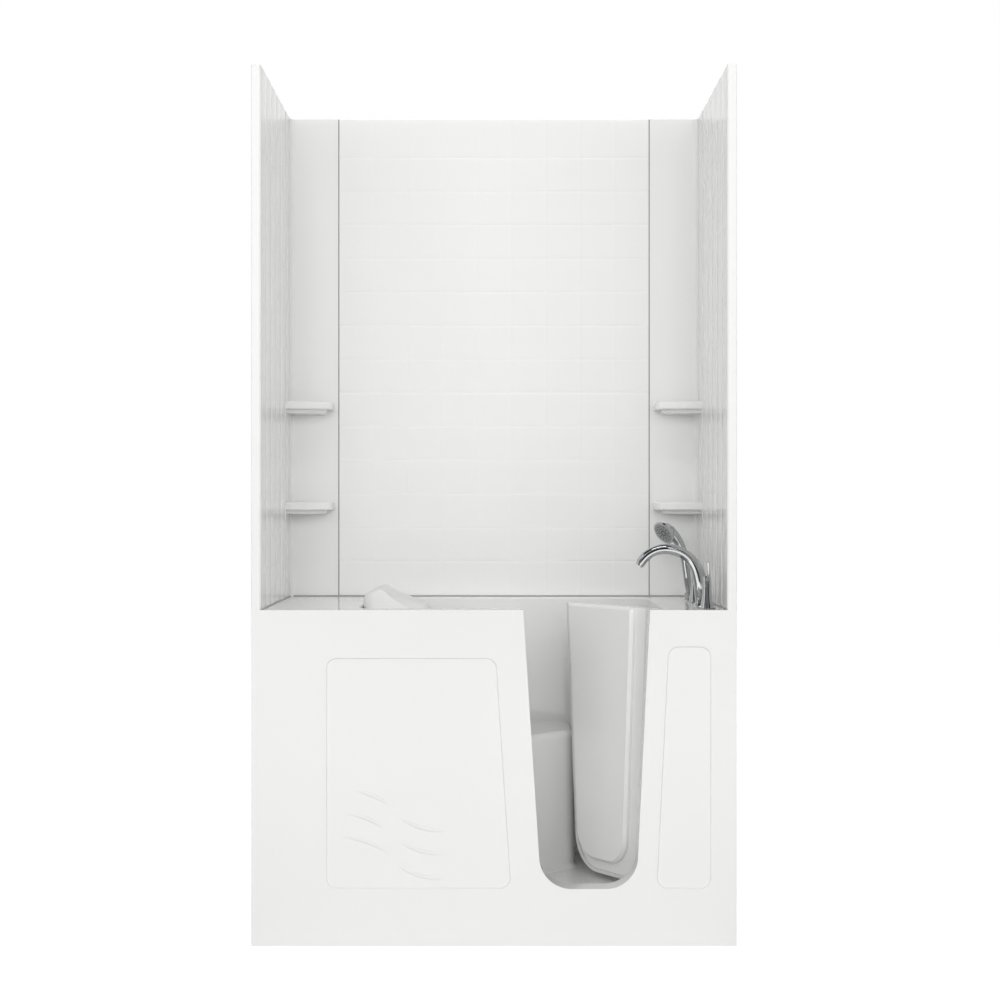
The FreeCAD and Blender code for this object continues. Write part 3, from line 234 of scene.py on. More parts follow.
# Front apron: a white acrylic skirt with two shallow sunk fields and six moulded ripples, formed from
# the same sheet as the shell and screwed to the frame from behind. The skin keeps the solid's form,
# with its relief deepened and the fields' borders drawn narrower.
acrylic_white = (0.86, 0.86, 0.85)
apron_acrylic = moulded("apron_acrylic", acrylic_white, mottle=0.02, cloud=1.6, roughness=0.2,
                        spread=0.06, ripple=18.0, relief=0.0006, IOR=1.49)
apron_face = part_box("front_apron")[0].y
field_depth = 0.003
moulded_depth = 0.0044
border_reach = 0.0101
border_share = 0.35
fields = ((-0.48, 0.07), (0.447, 0.62))
field_bottom = 0.15
field_top = 0.845
tolerance = 0.0001
weld_distance = 0.00001
flat_facing = 0.999
crease_angle = math.radians(35)
relief = bmesh.new()
relief.from_mesh(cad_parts["front_apron"].data)
bmesh.ops.remove_doubles(relief, verts=relief.verts, dist=weld_distance)


def sunk_in_field(point):
    """True for a point of a field's border, of its floor or of a rib on it."""
    across = any(left < point.co.x < right for left, right in fields)
    upward = field_bottom < point.co.z < field_top
    return across and upward and tolerance < point.co.y - apron_face < field_depth + tolerance


def nearest_on_brink(place):
    """Closest point of the fields' outer edge."""
    spots = []
    for start, end in brink:
        along = (place - start).dot(end - start) / (end - start).length_squared
        spots.append(start.lerp(end, min(max(along, 0.0), 1.0)))
    return min(spots, key=lambda spot: (spot - place).length)


sunk_points = [point for point in relief.verts if sunk_in_field(point)]
in_field = set(sunk_points)
brink = [tuple(point.co.copy() for point in edge.verts) for edge in relief.edges
         if not in_field.intersection(edge.verts)
         and any(in_field.intersection(face.verts) for face in edge.link_faces)]
for point in sunk_points:
    edge_point = nearest_on_brink(point.co)
    place = point.co.copy()
    if (place - edge_point).length < border_reach:
        place = edge_point.lerp(place, border_share)
    depth = (point.co.y - apron_face) * moulded_depth / field_depth
    point.co = (place.x, apron_face + depth, place.z)
relief.verts.index_update()
apron_mesh = bpy.data.meshes.new("apron_skin")
apron_mesh.from_pydata([point.co[:] for point in relief.verts], [],
                       [[point.index for point in face.verts] for face in relief.faces])
relief.free()
apron_mesh.set_sharp_from_angle(angle=crease_angle)
apron_mesh.polygons.foreach_set(
    "use_smooth", [abs(face.normal.y) < flat_facing for face in apron_mesh.polygons])
apron_mesh.materials.append(apron_acrylic)
apron_skin = bpy.data.objects.new("apron_skin", apron_mesh)
bpy.context.scene.collection.objects.link(apron_skin)
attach(apron_skin, "tub")
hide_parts("front_apron")


# Door: a hollow acrylic leaf that swings into the tub on three hinges, with a silicone gasket round its
# flange. The hinge leaves, pins, keeper and the control plate are brushed stainless steel, and the
# latch lever is chromed.
dress(apron_acrylic, "door_panel")
gasket = moulded("door_gasket", (0.70, 0.70, 0.68), mottle=0.12, cloud=30.0, roughness=0.5,
                 spread=0.15, ripple=400.0, relief=0.0003, Specular_IOR_Level=0.3)
dress(gasket, "door_seal")
brushed_steel = metal("brushed_stainless", (0.62, 0.62, 0.61), stretch=(4, 4, 90), scale=9.0,
                      roughness=0.26, spread=0.14, relief=0.0001)
dress(brushed_steel, "door_hinge_leaves", "jamb_hinge_leaves", "hinge_pins", "latch_strike", "control_plate")
dress(chrome, "latch_lever")


# Screws: countersunk stainless heads with a cross recess that hold the hinge leaves on the
# door and on the front wall, two through each leaf.
def grow(name, tree, sizes):
    """Run a geometry tree with its inputs set, and keep the result as a plain mesh."""
    piece = bpy.data.objects.new(name, bpy.data.meshes.new(name + "_seed"))
    bpy.context.scene.collection.objects.link(piece)
    modifier = piece.modifiers.new("shape", "NODES")
    modifier.node_group = tree
    for item in tree.interface.items_tree:
        if item.in_out == "INPUT" and item.name in sizes:
            modifier[item.identifier] = sizes[item.name]
    shaped = piece.evaluated_get(bpy.context.evaluated_depsgraph_get())
    mesh = bpy.data.meshes.new_from_object(shaped)
    piece.modifiers.remove(modifier)
    piece.data = mesh
    mesh.name = name
    mesh.polygons.foreach_set("use_smooth", [True] * len(mesh.polygons))
    mesh.set_sharp_from_angle(angle=crease_angle)
    return piece


def screw_row_tree():
    """Screw heads in a row of levels: a domed disc with a cross recess sunk into it."""
    tree, given, result = node_group(
        "screw_row", "GeometryNodeTree",
        {"First": "Vector", "Step": "Vector", "Count": "Int", "Aim": "Rotation", "Radius": "Float",
         "Rise": "Float", "Material": "Material"}, {"Mesh": "Geometry"})
    row = add(tree, "GeometryNodeMeshLine", {"Count": given["Count"], "Start Location": given["First"],
                                             "Offset": given["Step"]})
    disc = add(tree, "GeometryNodeMeshCone", {
        "Vertices": 16, "Side Segments": 2, "Radius Bottom": given["Radius"],
        "Radius Top": calc(tree, "MULTIPLY", given["Radius"], 0.7), "Depth": given["Rise"]})
    arm = calc(tree, "MULTIPLY", given["Radius"], 1.1)
    slim = calc(tree, "MULTIPLY", given["Radius"], 0.24)
    deep = calc(tree, "MULTIPLY", given["Rise"], 1.2)
    slots = []
    for length, width in ((arm, slim), (slim, arm)):
        size = add(tree, "ShaderNodeCombineXYZ", {0: length, 1: width, 2: deep})
        bar = add(tree, "GeometryNodeMeshCube", {"Size": size.outputs[0]})
        lift = add(tree, "ShaderNodeCombineXYZ", {2: given["Rise"]})
        slots.append(add(tree, "GeometryNodeTransform", {"Geometry": bar.outputs[0],
                                                         "Translation": lift.outputs[0]}))
    head = disc.outputs["Mesh"]
    for slot in slots:
        head = add(tree, "GeometryNodeMeshBoolean", {"Mesh 1": head, "Mesh 2": slot.outputs[0]},
                   operation="DIFFERENCE", solver="EXACT").outputs["Mesh"]
    placed = add(tree, "GeometryNodeInstanceOnPoints", {"Points": row.outputs[0], "Instance": head,
                                                        "Rotation": given["Aim"]})
    real = add(tree, "GeometryNodeRealizeInstances", {"Geometry": placed.outputs[0]})
    done = add(tree, "GeometryNodeSetMaterial", {"Geometry": real.outputs[0], "Material": given["Material"]})
    tree.links.new(done.outputs[0], result["Mesh"])
    return tree


screw_row = screw_row_tree()
screw_radius = 0.0042
screw_rise = 0.0016
hinge_axis = Vector((0.458, -0.265, 0.0))
lowest_hinge = 0.260
level_step = 0.290
door_turn = Matrix.Rotation(math.radians(-55.0), 3, "Z")
leaf_face = 0.019
door_screw_insets = (0.024, 0.052)
for number, inset in enumerate(door_screw_insets, start=1):
    at = hinge_axis + door_turn @ Vector((-inset, leaf_face, lowest_hinge))
    aim = door_turn @ Vector((0.0, 1.0, 0.0))
    screws = grow("door_leaf_screws_%d" % number, screw_row, {
        "First": at, "Step": (0.0, 0.0, level_step), "Count": 3, "Radius": screw_radius, "Rise": screw_rise,
        "Aim": aim.to_track_quat("Z", "Y").to_euler(), "Material": brushed_steel})
    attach(screws, "door")
jamb_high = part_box("jamb_hinge_leaves")[1]
jamb_face = -0.282
jamb_screw_inset = 0.006
jamb_screw_rises = (-0.030, 0.030)
for number, screw_height in enumerate(jamb_screw_rises, start=1):
    at = Vector((jamb_high.x - jamb_screw_inset, jamb_face, lowest_hinge + screw_height))
    screws = grow("jamb_leaf_screws_%d" % number, screw_row, {
        "First": at, "Step": (0.0, 0.0, level_step), "Count": 3, "Radius": screw_radius, "Rise": screw_rise,
        "Aim": Vector((0.0, 1.0, 0.0)).to_track_quat("Z", "Y").to_euler(), "Material": brushed_steel})
    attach(screws, "tub")


# Headrest: a self-skinned foam cushion hooked over the rim above the backrest. Its two lobed ends
# stand above a dip for the neck, and its front runs down to a thin lip; the skin is finely pebbled.
def closed_curve(points, count):
    """Smooth closed loop of evenly divided spans through a few points of a section."""
    loop = []
    total = len(points)
    for i in range(total):
        a, b, c, d = (Vector(points[(i + k - 1) % total]) for k in range(4))
        for k in range(count):
            t = k / count
            loop.append(0.5 * (2 * b + (c - a) * t + (2 * a - 5 * b + 4 * c - d) * t * t
                               + (3 * b - a - 3 * c + d) * t * t * t))
    return loop


rest_low, rest_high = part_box("headrest_pillow")
rim_x = -0.384
rim_z = 0.937
lean = 0.094 / 0.392
clearance = 0.001
rest_middle = (rest_low.y + rest_high.y) / 2
rest_half = (rest_high.y - rest_low.y) / 2 - clearance
rise = rest_high.z - rim_z - clearance
full_drop = rim_z - rest_low.z - 2 * clearance
nose_overshoot = 0.006
nose_reach = rest_high.x - rim_x + nose_overshoot
nose_drop = -0.012
crest_reach = 0.062
core_reach = 0.09
lip_height = 0.012
dip_depth = 0.024
dip_end = 0.93
corner_start = 0.62
corner_round = 0.048
corner_trims = {"crest": 0.006, "nose": 0.014, "drop": 0.55, "lip": 0.006}
scoop_start = 0.50
middle_fall = 0.74
end_fall_gain = 1.16
end_shrink = 0.95
ring_count = 41
span_steps = 4
rest_points = []
for ring in range(ring_count):
    reach = math.sin((-1.0 + 2.0 * ring / (ring_count - 1)) * math.pi / 2)
    to_end = max(abs(reach) - corner_start, 0.0) / (1.0 - corner_start)
    corner = 1.0 - math.sqrt(max(1.0 - to_end * to_end, 0.0))
    scoop = min(max((abs(reach) - scoop_start) / (1.0 - scoop_start), 0.0), 1.0)
    fall = middle_fall + end_fall_gain * scoop * scoop * (3.0 - 2.0 * scoop)
    crest = rise - dip_depth * (0.5 + 0.5 * math.cos(math.pi * min(abs(reach) / dip_end, 1.0)))
    back = clearance + corner_round * corner
    crest_x = crest_reach - corner_trims["crest"] * corner
    nose = nose_reach - corner_trims["nose"] * corner
    drop = full_drop * (1.0 - corner_trims["drop"] * corner)
    lip = lip_height - corner_trims["lip"] * corner
    # Up the back from its lowest edge, over the crest, down the front to the lip and back below it.
    section = [
        (back + lean * drop, -drop), (back + lean * drop * 0.5, -drop * 0.5), (back, 0.004),
        (back + 0.1 * (crest_x - back), crest * 0.68),
        (back + 0.45 * (crest_x - back), crest * 0.96), (crest_x, crest),
    ]
    for share in (0.25, 0.5, 0.75, 0.93):
        section.append((crest_x + share * (nose - crest_x),
                        nose_drop + (crest - nose_drop) * (1.0 - share) ** fall))
    section += [
        (nose, nose_drop - lip), (nose - 0.022, nose_drop - 0.005 - 2 * lip),
        (0.095, -0.030 - 2 * lip), (back + lean * drop + 0.020, -drop * 0.93),
    ]
    shrink = end_shrink if ring in (0, ring_count - 1) else 1.0
    for point in closed_curve(section, span_steps):
        rest_points.append((rim_x + core_reach + shrink * (point.x - core_reach),
                            rest_middle + reach * rest_half, rim_z + shrink * point.y))
loop_size = len(rest_points) // ring_count
rest_faces = []
for ring in range(ring_count - 1):
    for k in range(loop_size):
        a = ring * loop_size + k
        b = ring * loop_size + (k + 1) % loop_size
        rest_faces.append((a, a + loop_size, b + loop_size, b))
rest_faces.append(tuple(range(loop_size)))
rest_faces.append(tuple(reversed(range((ring_count - 1) * loop_size, ring_count * loop_size))))
cushion_mesh = bpy.data.meshes.new("headrest_cushion")
cushion_mesh.from_pydata(rest_points, [], rest_faces)
cushion_mesh.polygons.foreach_set("use_smooth", [True] * len(cushion_mesh.polygons))
cushion = bpy.data.objects.new("headrest_cushion", cushion_mesh)
bpy.context.scene.collection.objects.link(cushion)
foam_skin = moulded("foam_skin", (0.83, 0.83, 0.82), mottle=0.05, cloud=8.0, roughness=0.46,
                    spread=0.14, ripple=900.0, relief=0.0004,
                    Specular_IOR_Level=0.35, Sheen_Weight=0.1)
cushion_mesh.materials.append(foam_skin)
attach(cushion, "tub")
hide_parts("headrest_pillow")


# Wall panels: vacuum-formed acrylic sheets whose face is moulded as square tiles with soft sunk
# joints, slightly pillowed on the side walls. One panel covers the back wall and one each side; they
# are glued to the wall.
def tile_stations(tree, index, cells, count, first, pitch, total):
    """Place of each grid line across one direction, its distance to the nearest joint, half its tile."""
    number = calc(tree, "FLOOR", calc(tree, "DIVIDE", calc(tree, "ADD", index, 0.01), cells))
    tile = calc(tree, "MINIMUM", number, calc(tree, "SUBTRACT", count, 1.0))
    share = calc(tree, "DIVIDE", calc(tree, "SUBTRACT", index, calc(tree, "MULTIPLY", tile, cells)), cells)
    is_first = calc(tree, "LESS_THAN", tile, 0.5)
    is_last = calc(tree, "GREATER_THAN", tile, calc(tree, "SUBTRACT", count, 1.5))
    end = calc(tree, "ADD", first, calc(tree, "MULTIPLY", tile, pitch))
    low = calc(tree, "MULTIPLY", calc(tree, "SUBTRACT", end, pitch), calc(tree, "SUBTRACT", 1.0, is_first))
    high = calc(tree, "ADD", end, calc(tree, "MULTIPLY", is_last, calc(tree, "SUBTRACT", total, end)))
    from_middle = calc(tree, "SUBTRACT", calc(tree, "MULTIPLY", share, 2.0), 1.0)
    fold = calc(tree, "SUBTRACT", 1.0, calc(tree, "ABSOLUTE", from_middle))
    half = calc(tree, "MULTIPLY", calc(tree, "SUBTRACT", high, low), 0.5)
    away = calc(tree, "MULTIPLY", calc(tree, "POWER", fold, 2.5), half)
    side = calc(tree, "SIGN", from_middle)
    middle = calc(tree, "MULTIPLY", calc(tree, "ADD", high, low), 0.5)
    place = calc(tree, "ADD", middle, calc(tree, "MULTIPLY", side, calc(tree, "SUBTRACT", half, away)))
    return place, away, half


def tile_panel_tree():
    """A panel of tiles on a grid that is drawn together at the joints, closed to a flat back."""
    tree, given, result = node_group(
        "tile_panel", "GeometryNodeTree",
        {"Corner": "Vector", "Along": "Vector", "Up": "Vector", "Inwards": "Vector", "Width": "Float",
         "Height": "Float", "Columns": "Int", "Rows": "Int", "First Column": "Float", "First Row": "Float",
         "Column Pitch": "Float", "Row Pitch": "Float", "Joint Width": "Float", "Upright Depth": "Float",
         "Level Depth": "Float", "Swell": "Float", "Thickness": "Float", "Cells": "Int",
         "Material": "Material"}, {"Mesh": "Geometry"})
    across = calc(tree, "MULTIPLY", given["Columns"], given["Cells"])
    upward = calc(tree, "MULTIPLY", given["Rows"], given["Cells"])
    grid = add(tree, "GeometryNodeMeshGrid", {
        "Size X": across, "Size Y": upward, "Vertices X": calc(tree, "ADD", across, 1.0),
        "Vertices Y": calc(tree, "ADD", upward, 1.0)})
    spread = add(tree, "ShaderNodeSeparateXYZ", {0: add(tree, "GeometryNodeInputPosition").outputs[0]})
    column = calc(tree, "ADD", spread.outputs["X"], calc(tree, "MULTIPLY", across, 0.5))
    row = calc(tree, "ADD", spread.outputs["Y"], calc(tree, "MULTIPLY", upward, 0.5))
    u, u_away, u_half = tile_stations(tree, column, given["Cells"], given["Columns"], given["First Column"],
                                      given["Column Pitch"], given["Width"])
    v, v_away, _ = tile_stations(tree, row, given["Cells"], given["Rows"], given["First Row"],
                                 given["Row Pitch"], given["Height"])
    half_joint = calc(tree, "MULTIPLY", given["Joint Width"], 0.5)
    joints = []
    for away, depth in ((u_away, "Upright Depth"), (v_away, "Level Depth")):
        joints.append(add(tree, "ShaderNodeMapRange", {
            "Value": away, "From Min": 0.0, "From Max": half_joint, "To Min": given[depth],
            "To Max": 0.0}, interpolation_type="SMOOTHSTEP").outputs[0])
    from_joint = calc(tree, "SUBTRACT", 1.0, calc(tree, "DIVIDE", u_away, u_half))
    swell = calc(tree, "MULTIPLY", given["Swell"], calc(tree, "MULTIPLY", from_joint, from_joint))
    sunk = calc(tree, "ADD", calc(tree, "MAXIMUM", *joints), swell)
    point = given["Corner"]
    for direction, length in (("Along", u), ("Up", v), ("Inwards", sunk)):
        step = add(tree, "ShaderNodeVectorMath", {0: given[direction], "Scale": length}, operation="SCALE")
        point = add(tree, "ShaderNodeVectorMath", {0: point, 1: step.outputs[0]}).outputs[0]
    face = add(tree, "GeometryNodeSetPosition", {"Geometry": grid.outputs["Mesh"], "Position": point})
    walls = add(tree, "GeometryNodeExtrudeMesh", {"Mesh": face.outputs[0], "Offset": given["Inwards"],
                                                  "Offset Scale": given["Thickness"], "Individual": False})
    here = add(tree, "GeometryNodeInputPosition").outputs[0]
    from_corner = add(tree, "ShaderNodeVectorMath", {0: here, 1: given["Corner"]}, operation="SUBTRACT")
    depth = add(tree, "ShaderNodeVectorMath", {0: from_corner.outputs[0], 1: given["Inwards"]},
                operation="DOT_PRODUCT").outputs["Value"]
    short = add(tree, "ShaderNodeVectorMath", {
        0: given["Inwards"], "Scale": calc(tree, "SUBTRACT", given["Thickness"], depth)}, operation="SCALE")
    back = add(tree, "GeometryNodeSetPosition", {
        "Geometry": walls.outputs["Mesh"], "Selection": walls.outputs["Top"], "Offset": short.outputs[0]})
    turned = add(tree, "GeometryNodeFlipFaces", {"Mesh": back.outputs[0]})
    whole = add(tree, "GeometryNodeJoinGeometry")
    tree.links.new(face.outputs[0], whole.inputs[0])
    tree.links.new(turned.outputs[0], whole.inputs[0])
    welded = add(tree, "GeometryNodeMergeByDistance", {"Geometry": whole.outputs[0], "Distance": 0.00001})
    real = add(tree, "GeometryNodeRealizeInstances", {"Geometry": welded.outputs[0]})
    done = add(tree, "GeometryNodeSetMaterial", {"Geometry": real.outputs[0], "Material": given["Material"]})
    tree.links.new(done.outputs[0], result["Mesh"])
    return tree


panel_acrylic = moulded("panel_acrylic", (0.89, 0.89, 0.88), mottle=0.03, cloud=1.4, roughness=0.08,
                        spread=0.04, ripple=7.0, relief=0.0006, IOR=1.49)
tile_panel = tile_panel_tree()
tile_width = 0.1096
tile_height = 0.107
bottom_tile = 0.111
tile_rows = 14
joint_width = 0.0055
cells_per_tile = 12
upright = Vector((0.0, 0.0, 1.0))
panel_sides = {
    "back": (Vector((1.0, 0.0, 0.0)), 0, 0.0006, 0.0013, 0.0),
    "left": (Vector((0.0, 1.0, 0.0)), 1, 0.0038, 0.0003, 0.0017),
    "right": (Vector((0.0, -1.0, 0.0)), -1, 0.0038, 0.0003, 0.0017),
}
for side, (along, cut_tile, upright_depth, level_depth, swell) in panel_sides.items():
    low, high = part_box(side + "_panel")
    outward = along.cross(upright)
    size = high - low
    width = abs(size.dot(along))
    columns = round(width / tile_width) if cut_tile == 0 else math.ceil(width / tile_width)
    pitch = width / columns if cut_tile == 0 else tile_width
    first = width - (columns - 1) * pitch if cut_tile == 1 else pitch
    corner = Vector(high[k] if along[k] < 0 or outward[k] > 0 else low[k] for k in range(3))
    wall = grow(side + "_wall_panel", tile_panel, {
        "Corner": corner, "Along": along, "Up": upright, "Inwards": -outward, "Width": width,
        "Height": size.z, "Columns": columns, "Rows": tile_rows, "First Column": first,
        "First Row": bottom_tile, "Column Pitch": pitch, "Row Pitch": tile_height,
        "Joint Width": joint_width, "Upright Depth": upright_depth, "Level Depth": level_depth,
        "Swell": swell, "Thickness": abs(size.dot(outward)), "Cells": cells_per_tile,
        "Material": panel_acrylic})
    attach(wall, "tub")
    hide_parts(side + "_panel")


# Corner columns with their shelves, and the edge strips: smooth acrylic mouldings that lap behind
# the tile panels and close the front edges of the side walls.
column_acrylic = moulded("column_acrylic", acrylic_white, mottle=0.03, cloud=1.8, roughness=0.12,
                         spread=0.05, ripple=9.0, relief=0.0008, IOR=1.49)
dress(column_acrylic, "left_corner_column", "right_corner_column")
dress(apron_acrylic, "left_edge_trim", "right_edge_trim")


# Sealant: a bead of grey silicone in each upright seam between the back panel and the columns,
# and a paler one where the walls stand on the deck, tooled to a smooth round. Both beads are
# toned darker than plain silicone as painted shadow, standing in for the shade in these seams.
def bead_tree():
    """Round bead along a straight seam."""
    tree, given, result = node_group(
        "sealant_bead", "GeometryNodeTree",
        {"Start": "Vector", "End": "Vector", "Radius": "Float", "Material": "Material"}, {"Mesh": "Geometry"})
    line = add(tree, "GeometryNodeCurvePrimitiveLine", {"Start": given["Start"], "End": given["End"]})
    ring = add(tree, "GeometryNodeCurvePrimitiveCircle", {"Resolution": 14, "Radius": given["Radius"]})
    sweep = add(tree, "GeometryNodeCurveToMesh", {"Curve": line.outputs[0], "Profile Curve": ring.outputs[0],
                                                  "Fill Caps": True})
    real = add(tree, "GeometryNodeRealizeInstances", {"Geometry": sweep.outputs[0]})
    done = add(tree, "GeometryNodeSetMaterial", {"Geometry": real.outputs[0], "Material": given["Material"]})
    tree.links.new(done.outputs[0], result["Mesh"])
    return tree


sealant_bead = bead_tree()
# Near-black silicone: its darkness is painted shadow for the upright seams beside the columns.
grey_sealant_painted_shadow = moulded("grey_sealant_painted_shadow", (0.19, 0.19, 0.19), mottle=0.2, cloud=25.0, roughness=0.42,
                       spread=0.15, ripple=120.0, relief=0.0003)
# Mid-grey silicone: its tone is painted shadow for the seams where the walls stand on the deck.
foot_sealant = moulded("foot_sealant", (0.36, 0.36, 0.35), mottle=0.1, cloud=25.0, roughness=0.42,
                       spread=0.15, ripple=90.0, relief=0.0003)
back_low, back_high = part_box("back_panel")
left_low, left_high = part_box("left_panel")
seam_gap = 0.002
seam_radius = 0.0016
foot_radius = 0.0022
seam_sink = 0.0008
foot_lift = 0.001
seam_y = back_low.y + seam_sink
foot_z = back_low.z + foot_lift
seams = {}
for side, sign in (("left", -1), ("right", 1)):
    seam_x = sign * (back_high.x + seam_gap / 2)
    seams[side + "_seam_sealant"] = ((seam_x, seam_y, back_low.z), (seam_x, seam_y, back_high.z),
                                     seam_radius, grey_sealant_painted_shadow)
    wall_x = -sign * left_high.x
    side_z = left_low.z + foot_lift
    seams[side + "_foot_sealant"] = ((wall_x, left_low.y + foot_lift, side_z), (wall_x, back_low.y, side_z),
                                     foot_radius, foot_sealant)
seams["back_foot_sealant"] = ((left_high.x, back_low.y, foot_z), (-left_high.x, back_low.y, foot_z),
                              foot_radius, foot_sealant)
for name, (start, end, radius, material) in seams.items():
    bead = grow(name, sealant_bead, {"Start": start, "End": end, "Radius": radius, "Material": material})
    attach(bead, "tub")


# Deck taps: a gooseneck filler between two lever taps and a hand shower in its socket, all cast in
# brass, polished and chromed. The spray plate is satin metal with dark rubber nozzles.
dress(chrome, "spout", "spout_flange", "spout_aerator", "hot_valve_body", "cold_valve_body", "hot_lever",
      "cold_lever", "shower_holder", "hand_shower")
spray_plate = metal("spray_plate", (0.34, 0.35, 0.36), stretch=(1, 1, 1), scale=200.0,
                    roughness=0.2, spread=0.1, relief=0.00005)
nozzle_rubber = moulded("nozzle_rubber", (0.05, 0.05, 0.055), mottle=0.1, cloud=90.0, roughness=0.5,
                        spread=0.1, ripple=900.0, relief=0.0002)
dress(spray_plate, "spray_face")


def nozzle_tree():
    """Rings of small soft nozzles on a round plate."""
    tree, given, result = node_group(
        "spray_nozzles", "GeometryNodeTree",
        {"Centre": "Vector", "Aim": "Rotation", "Rings": "Int", "Spacing": "Float", "Length": "Float",
         "Radius": "Float", "Material": "Material"}, {"Mesh": "Geometry"})
    ring_line = add(tree, "GeometryNodeMeshLine", {"Count": given["Rings"], "Offset": (0.0, 0.0, 0.0)})
    number = add(tree, "GeometryNodeInputIndex").outputs[0]
    reach = calc(tree, "MULTIPLY", calc(tree, "ADD", number, 1.0), given["Spacing"])
    tip = calc(tree, "MULTIPLY", given["Radius"], 0.6)
    cone = add(tree, "GeometryNodeMeshCone", {
        "Vertices": 8, "Radius Top": tip, "Radius Bottom": given["Radius"], "Depth": given["Length"]})
    circles = add(tree, "GeometryNodeMeshCircle", {"Vertices": 12, "Radius": 1.0})
    scaled = add(tree, "ShaderNodeCombineXYZ", {0: reach, 1: reach, 2: 1.0})
    rings = add(tree, "GeometryNodeInstanceOnPoints", {
        "Points": ring_line.outputs[0], "Instance": circles.outputs[0], "Scale": scaled.outputs[0]})
    spots = add(tree, "GeometryNodeRealizeInstances", {"Geometry": rings.outputs[0]})
    nozzles = add(tree, "GeometryNodeInstanceOnPoints", {"Points": spots.outputs[0],
                                                         "Instance": cone.outputs["Mesh"]})
    real = add(tree, "GeometryNodeRealizeInstances", {"Geometry": nozzles.outputs[0]})
    placed = add(tree, "GeometryNodeTransform", {"Geometry": real.outputs[0], "Translation": given["Centre"],
                                                 "Rotation": given["Aim"]})
    done = add(tree, "GeometryNodeSetMaterial", {"Geometry": placed.outputs[0],
                                                 "Material": given["Material"]})
    tree.links.new(done.outputs[0], result["Mesh"])
    return tree


plate_low, plate_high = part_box("spray_face")
spray_look = Vector((-0.70, -0.48, -0.53)).normalized()
nozzle_stand = 0.0015
nozzle_sizes = {"Rings": 3, "Spacing": 0.008, "Length": 0.0024, "Radius": 0.0013}
nozzles = grow("spray_nozzles", nozzle_tree(), {
    **nozzle_sizes, "Centre": (plate_low + plate_high) / 2 + spray_look * nozzle_stand,
    "Aim": spray_look.to_track_quat("Z", "Y").to_euler(), "Material": nozzle_rubber})
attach(nozzles, "shower")


# Studio: a pale floor that keeps the tub's shadow, a white background, soft lights from the front, the
# sides and above, and black boards that only polished surfaces see. The camera stands before the tub
# at chest height.
scene = bpy.context.scene
scene.view_settings.view_transform = "Standard"
floor_mesh = bpy.data.meshes.new("studio_floor")
floor_half = 9.0
floor_mesh.from_pydata([(-floor_half, -floor_half, 0), (floor_half, -floor_half, 0),
                        (floor_half, floor_half, 0), (-floor_half, floor_half, 0)], [], [(0, 1, 2, 3)])
floor = bpy.data.objects.new("studio_floor", floor_mesh)
scene.collection.objects.link(floor)
pale = bpy.data.materials.new("pale_floor")
pale.use_nodes = True
pale_tree = pale.node_tree
pale_tree.nodes.clear()
floor_tone = (0.85, 0.85, 0.85, 1.0)
floor_lift = 0.82
white = (1.0, 1.0, 1.0, 1.0)
matt = add(pale_tree, "ShaderNodeBsdfDiffuse", {"Color": floor_tone})


def seen_direct(tree):
    """1 for rays from the camera, a polished surface or glass, 0 for the light that fills the room."""
    ray = add(tree, "ShaderNodeLightPath").outputs
    mirrored = calc(tree, "MAXIMUM", ray["Is Glossy Ray"], ray["Is Transmission Ray"])
    return calc(tree, "MAXIMUM", ray["Is Camera Ray"], mirrored)


lift = add(pale_tree, "ShaderNodeEmission", {
    "Color": white, "Strength": calc(pale_tree, "MULTIPLY", seen_direct(pale_tree), floor_lift)})
both = add(pale_tree, "ShaderNodeAddShader", {0: matt.outputs[0], 1: lift.outputs[0]})
add(pale_tree, "ShaderNodeOutputMaterial", {"Surface": both.outputs[0]})
floor_mesh.materials.append(pale)

world = bpy.data.worlds.new("white_studio")
scene.world = world
world.use_nodes = True
sky = world.node_tree
sky.nodes.clear()
ambient = 0.44
overhead_loss = 0.4
sky_place = add(sky, "ShaderNodeTexCoord").outputs["Generated"]
sky_rise = add(sky, "ShaderNodeSeparateXYZ", {0: sky_place}).outputs["Z"]
shade = calc(sky, "MULTIPLY", calc(sky, "MAXIMUM", sky_rise, 0.0), -overhead_loss)
fill = calc(sky, "MULTIPLY", calc(sky, "ADD", shade, 1.0), ambient)
strength = calc(sky, "MAXIMUM", fill, seen_direct(sky))
ground = add(sky, "ShaderNodeBackground", {"Color": white, "Strength": strength})
add(sky, "ShaderNodeOutputWorld", {"Surface": ground.outputs[0]})


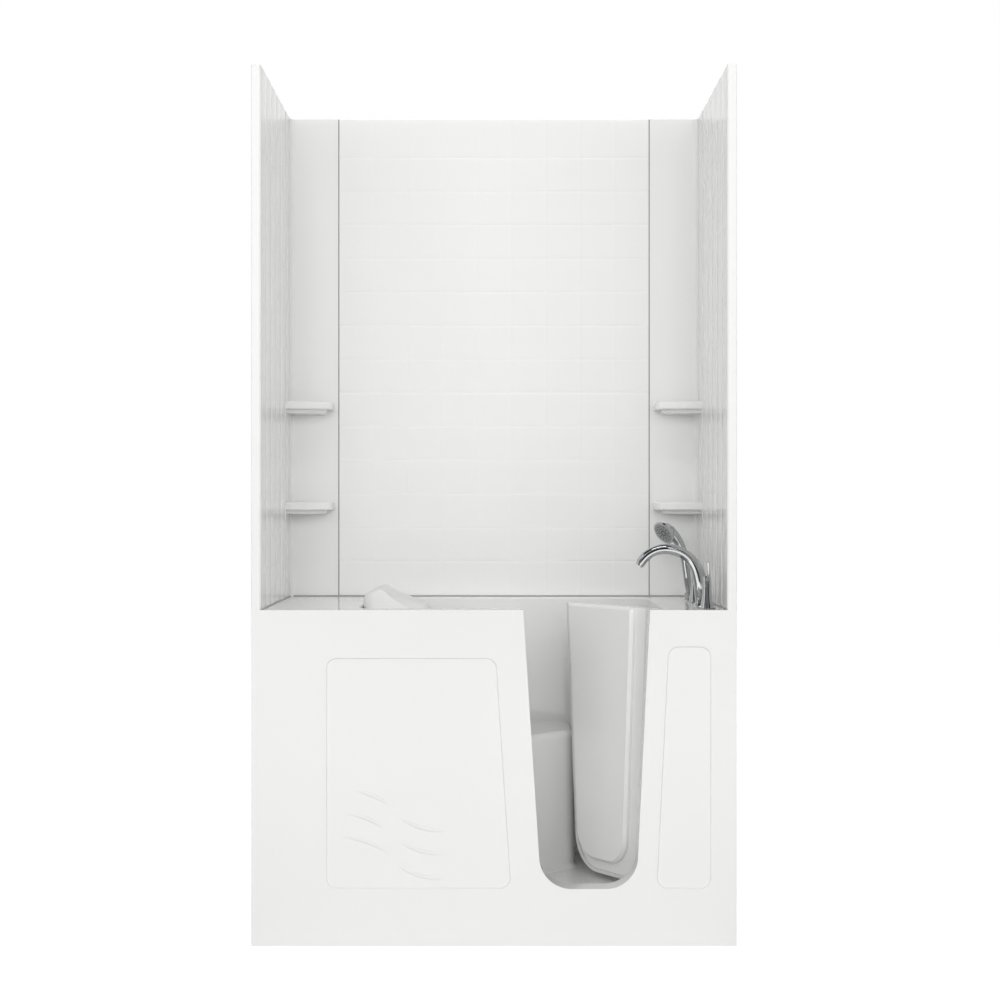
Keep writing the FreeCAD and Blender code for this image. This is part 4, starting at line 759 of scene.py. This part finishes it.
def soft_light(name, place, target, width, height, power, mirrored):
    """Area light aimed at a point; mirrored says if polished surfaces show it."""
    lamp = bpy.data.lights.new(name, "AREA")
    lamp.shape = "RECTANGLE"
    lamp.size = width
    lamp.size_y = height
    lamp.energy = power
    light = bpy.data.objects.new(name, lamp)
    scene.collection.objects.link(light)
    light.location = place
    light.rotation_euler = (Vector(target) - Vector(place)).to_track_quat("-Z", "Y").to_euler()
    light.visible_glossy = mirrored


tub_middle = (0.0, 0.0, 1.4)
tub_deck = (0.0, 0.0, 1.2)
soft_light("front_light", (0.0, -6.2, 2.8), tub_middle, width=6.0, height=3.0, power=172.0, mirrored=False)
for side, place in {"left": -4.0, "right": 4.0}.items():
    soft_light(side + "_light", (place, -5.4, 2.8), tub_middle, width=2.4, height=2.4, power=40.0,
               mirrored=False)
soft_light("upper_light", (-0.3, -2.6, 5.6), tub_deck, width=2.4, height=0.3, power=26.0, mirrored=True)


def dark_board(name, corners):
    """Black board that only polished surfaces see, so that metal shows dark streaks."""
    mesh = bpy.data.meshes.new(name)
    mesh.from_pydata(corners, [], [(0, 1, 2, 3)])
    board = bpy.data.objects.new(name, mesh)
    scene.collection.objects.link(board)
    black, _, _ = new_material(name, Base_Color=(0.05, 0.05, 0.05, 1.0), Roughness=0.9)
    mesh.materials.append(black)
    board.visible_camera = False
    board.visible_diffuse = False
    board.visible_shadow = False


board_spans = {"left": (-4.5, -1.25), "middle": (-0.85, 0.85), "right": (1.2, 4.5)}
board_y = -3.2
board_low = 0.6
board_high = 3.4
for side, (start, end) in board_spans.items():
    dark_board(side + "_board", [(start, board_y, board_low), (end, board_y, board_low),
                                 (end, board_y, board_high), (start, board_y, board_high)])
roof_z = 6.2
dark_board("upper_board", [(-4.0, -5.0, roof_z), (4.0, -5.0, roof_z),
                           (4.0, 3.0, roof_z), (-4.0, 3.0, roof_z)])

camera_data = bpy.data.cameras.new("camera")
camera_data.sensor_width = 36.0
camera_data.lens = 61.62
camera_data.shift_x = 0.006
camera = bpy.data.objects.new("camera", camera_data)
scene.collection.objects.link(camera)
camera.location = (0.0, -5.110, 1.243)
camera.rotation_euler = (math.radians(90.0), 0.0, 0.0)
scene.camera = camera
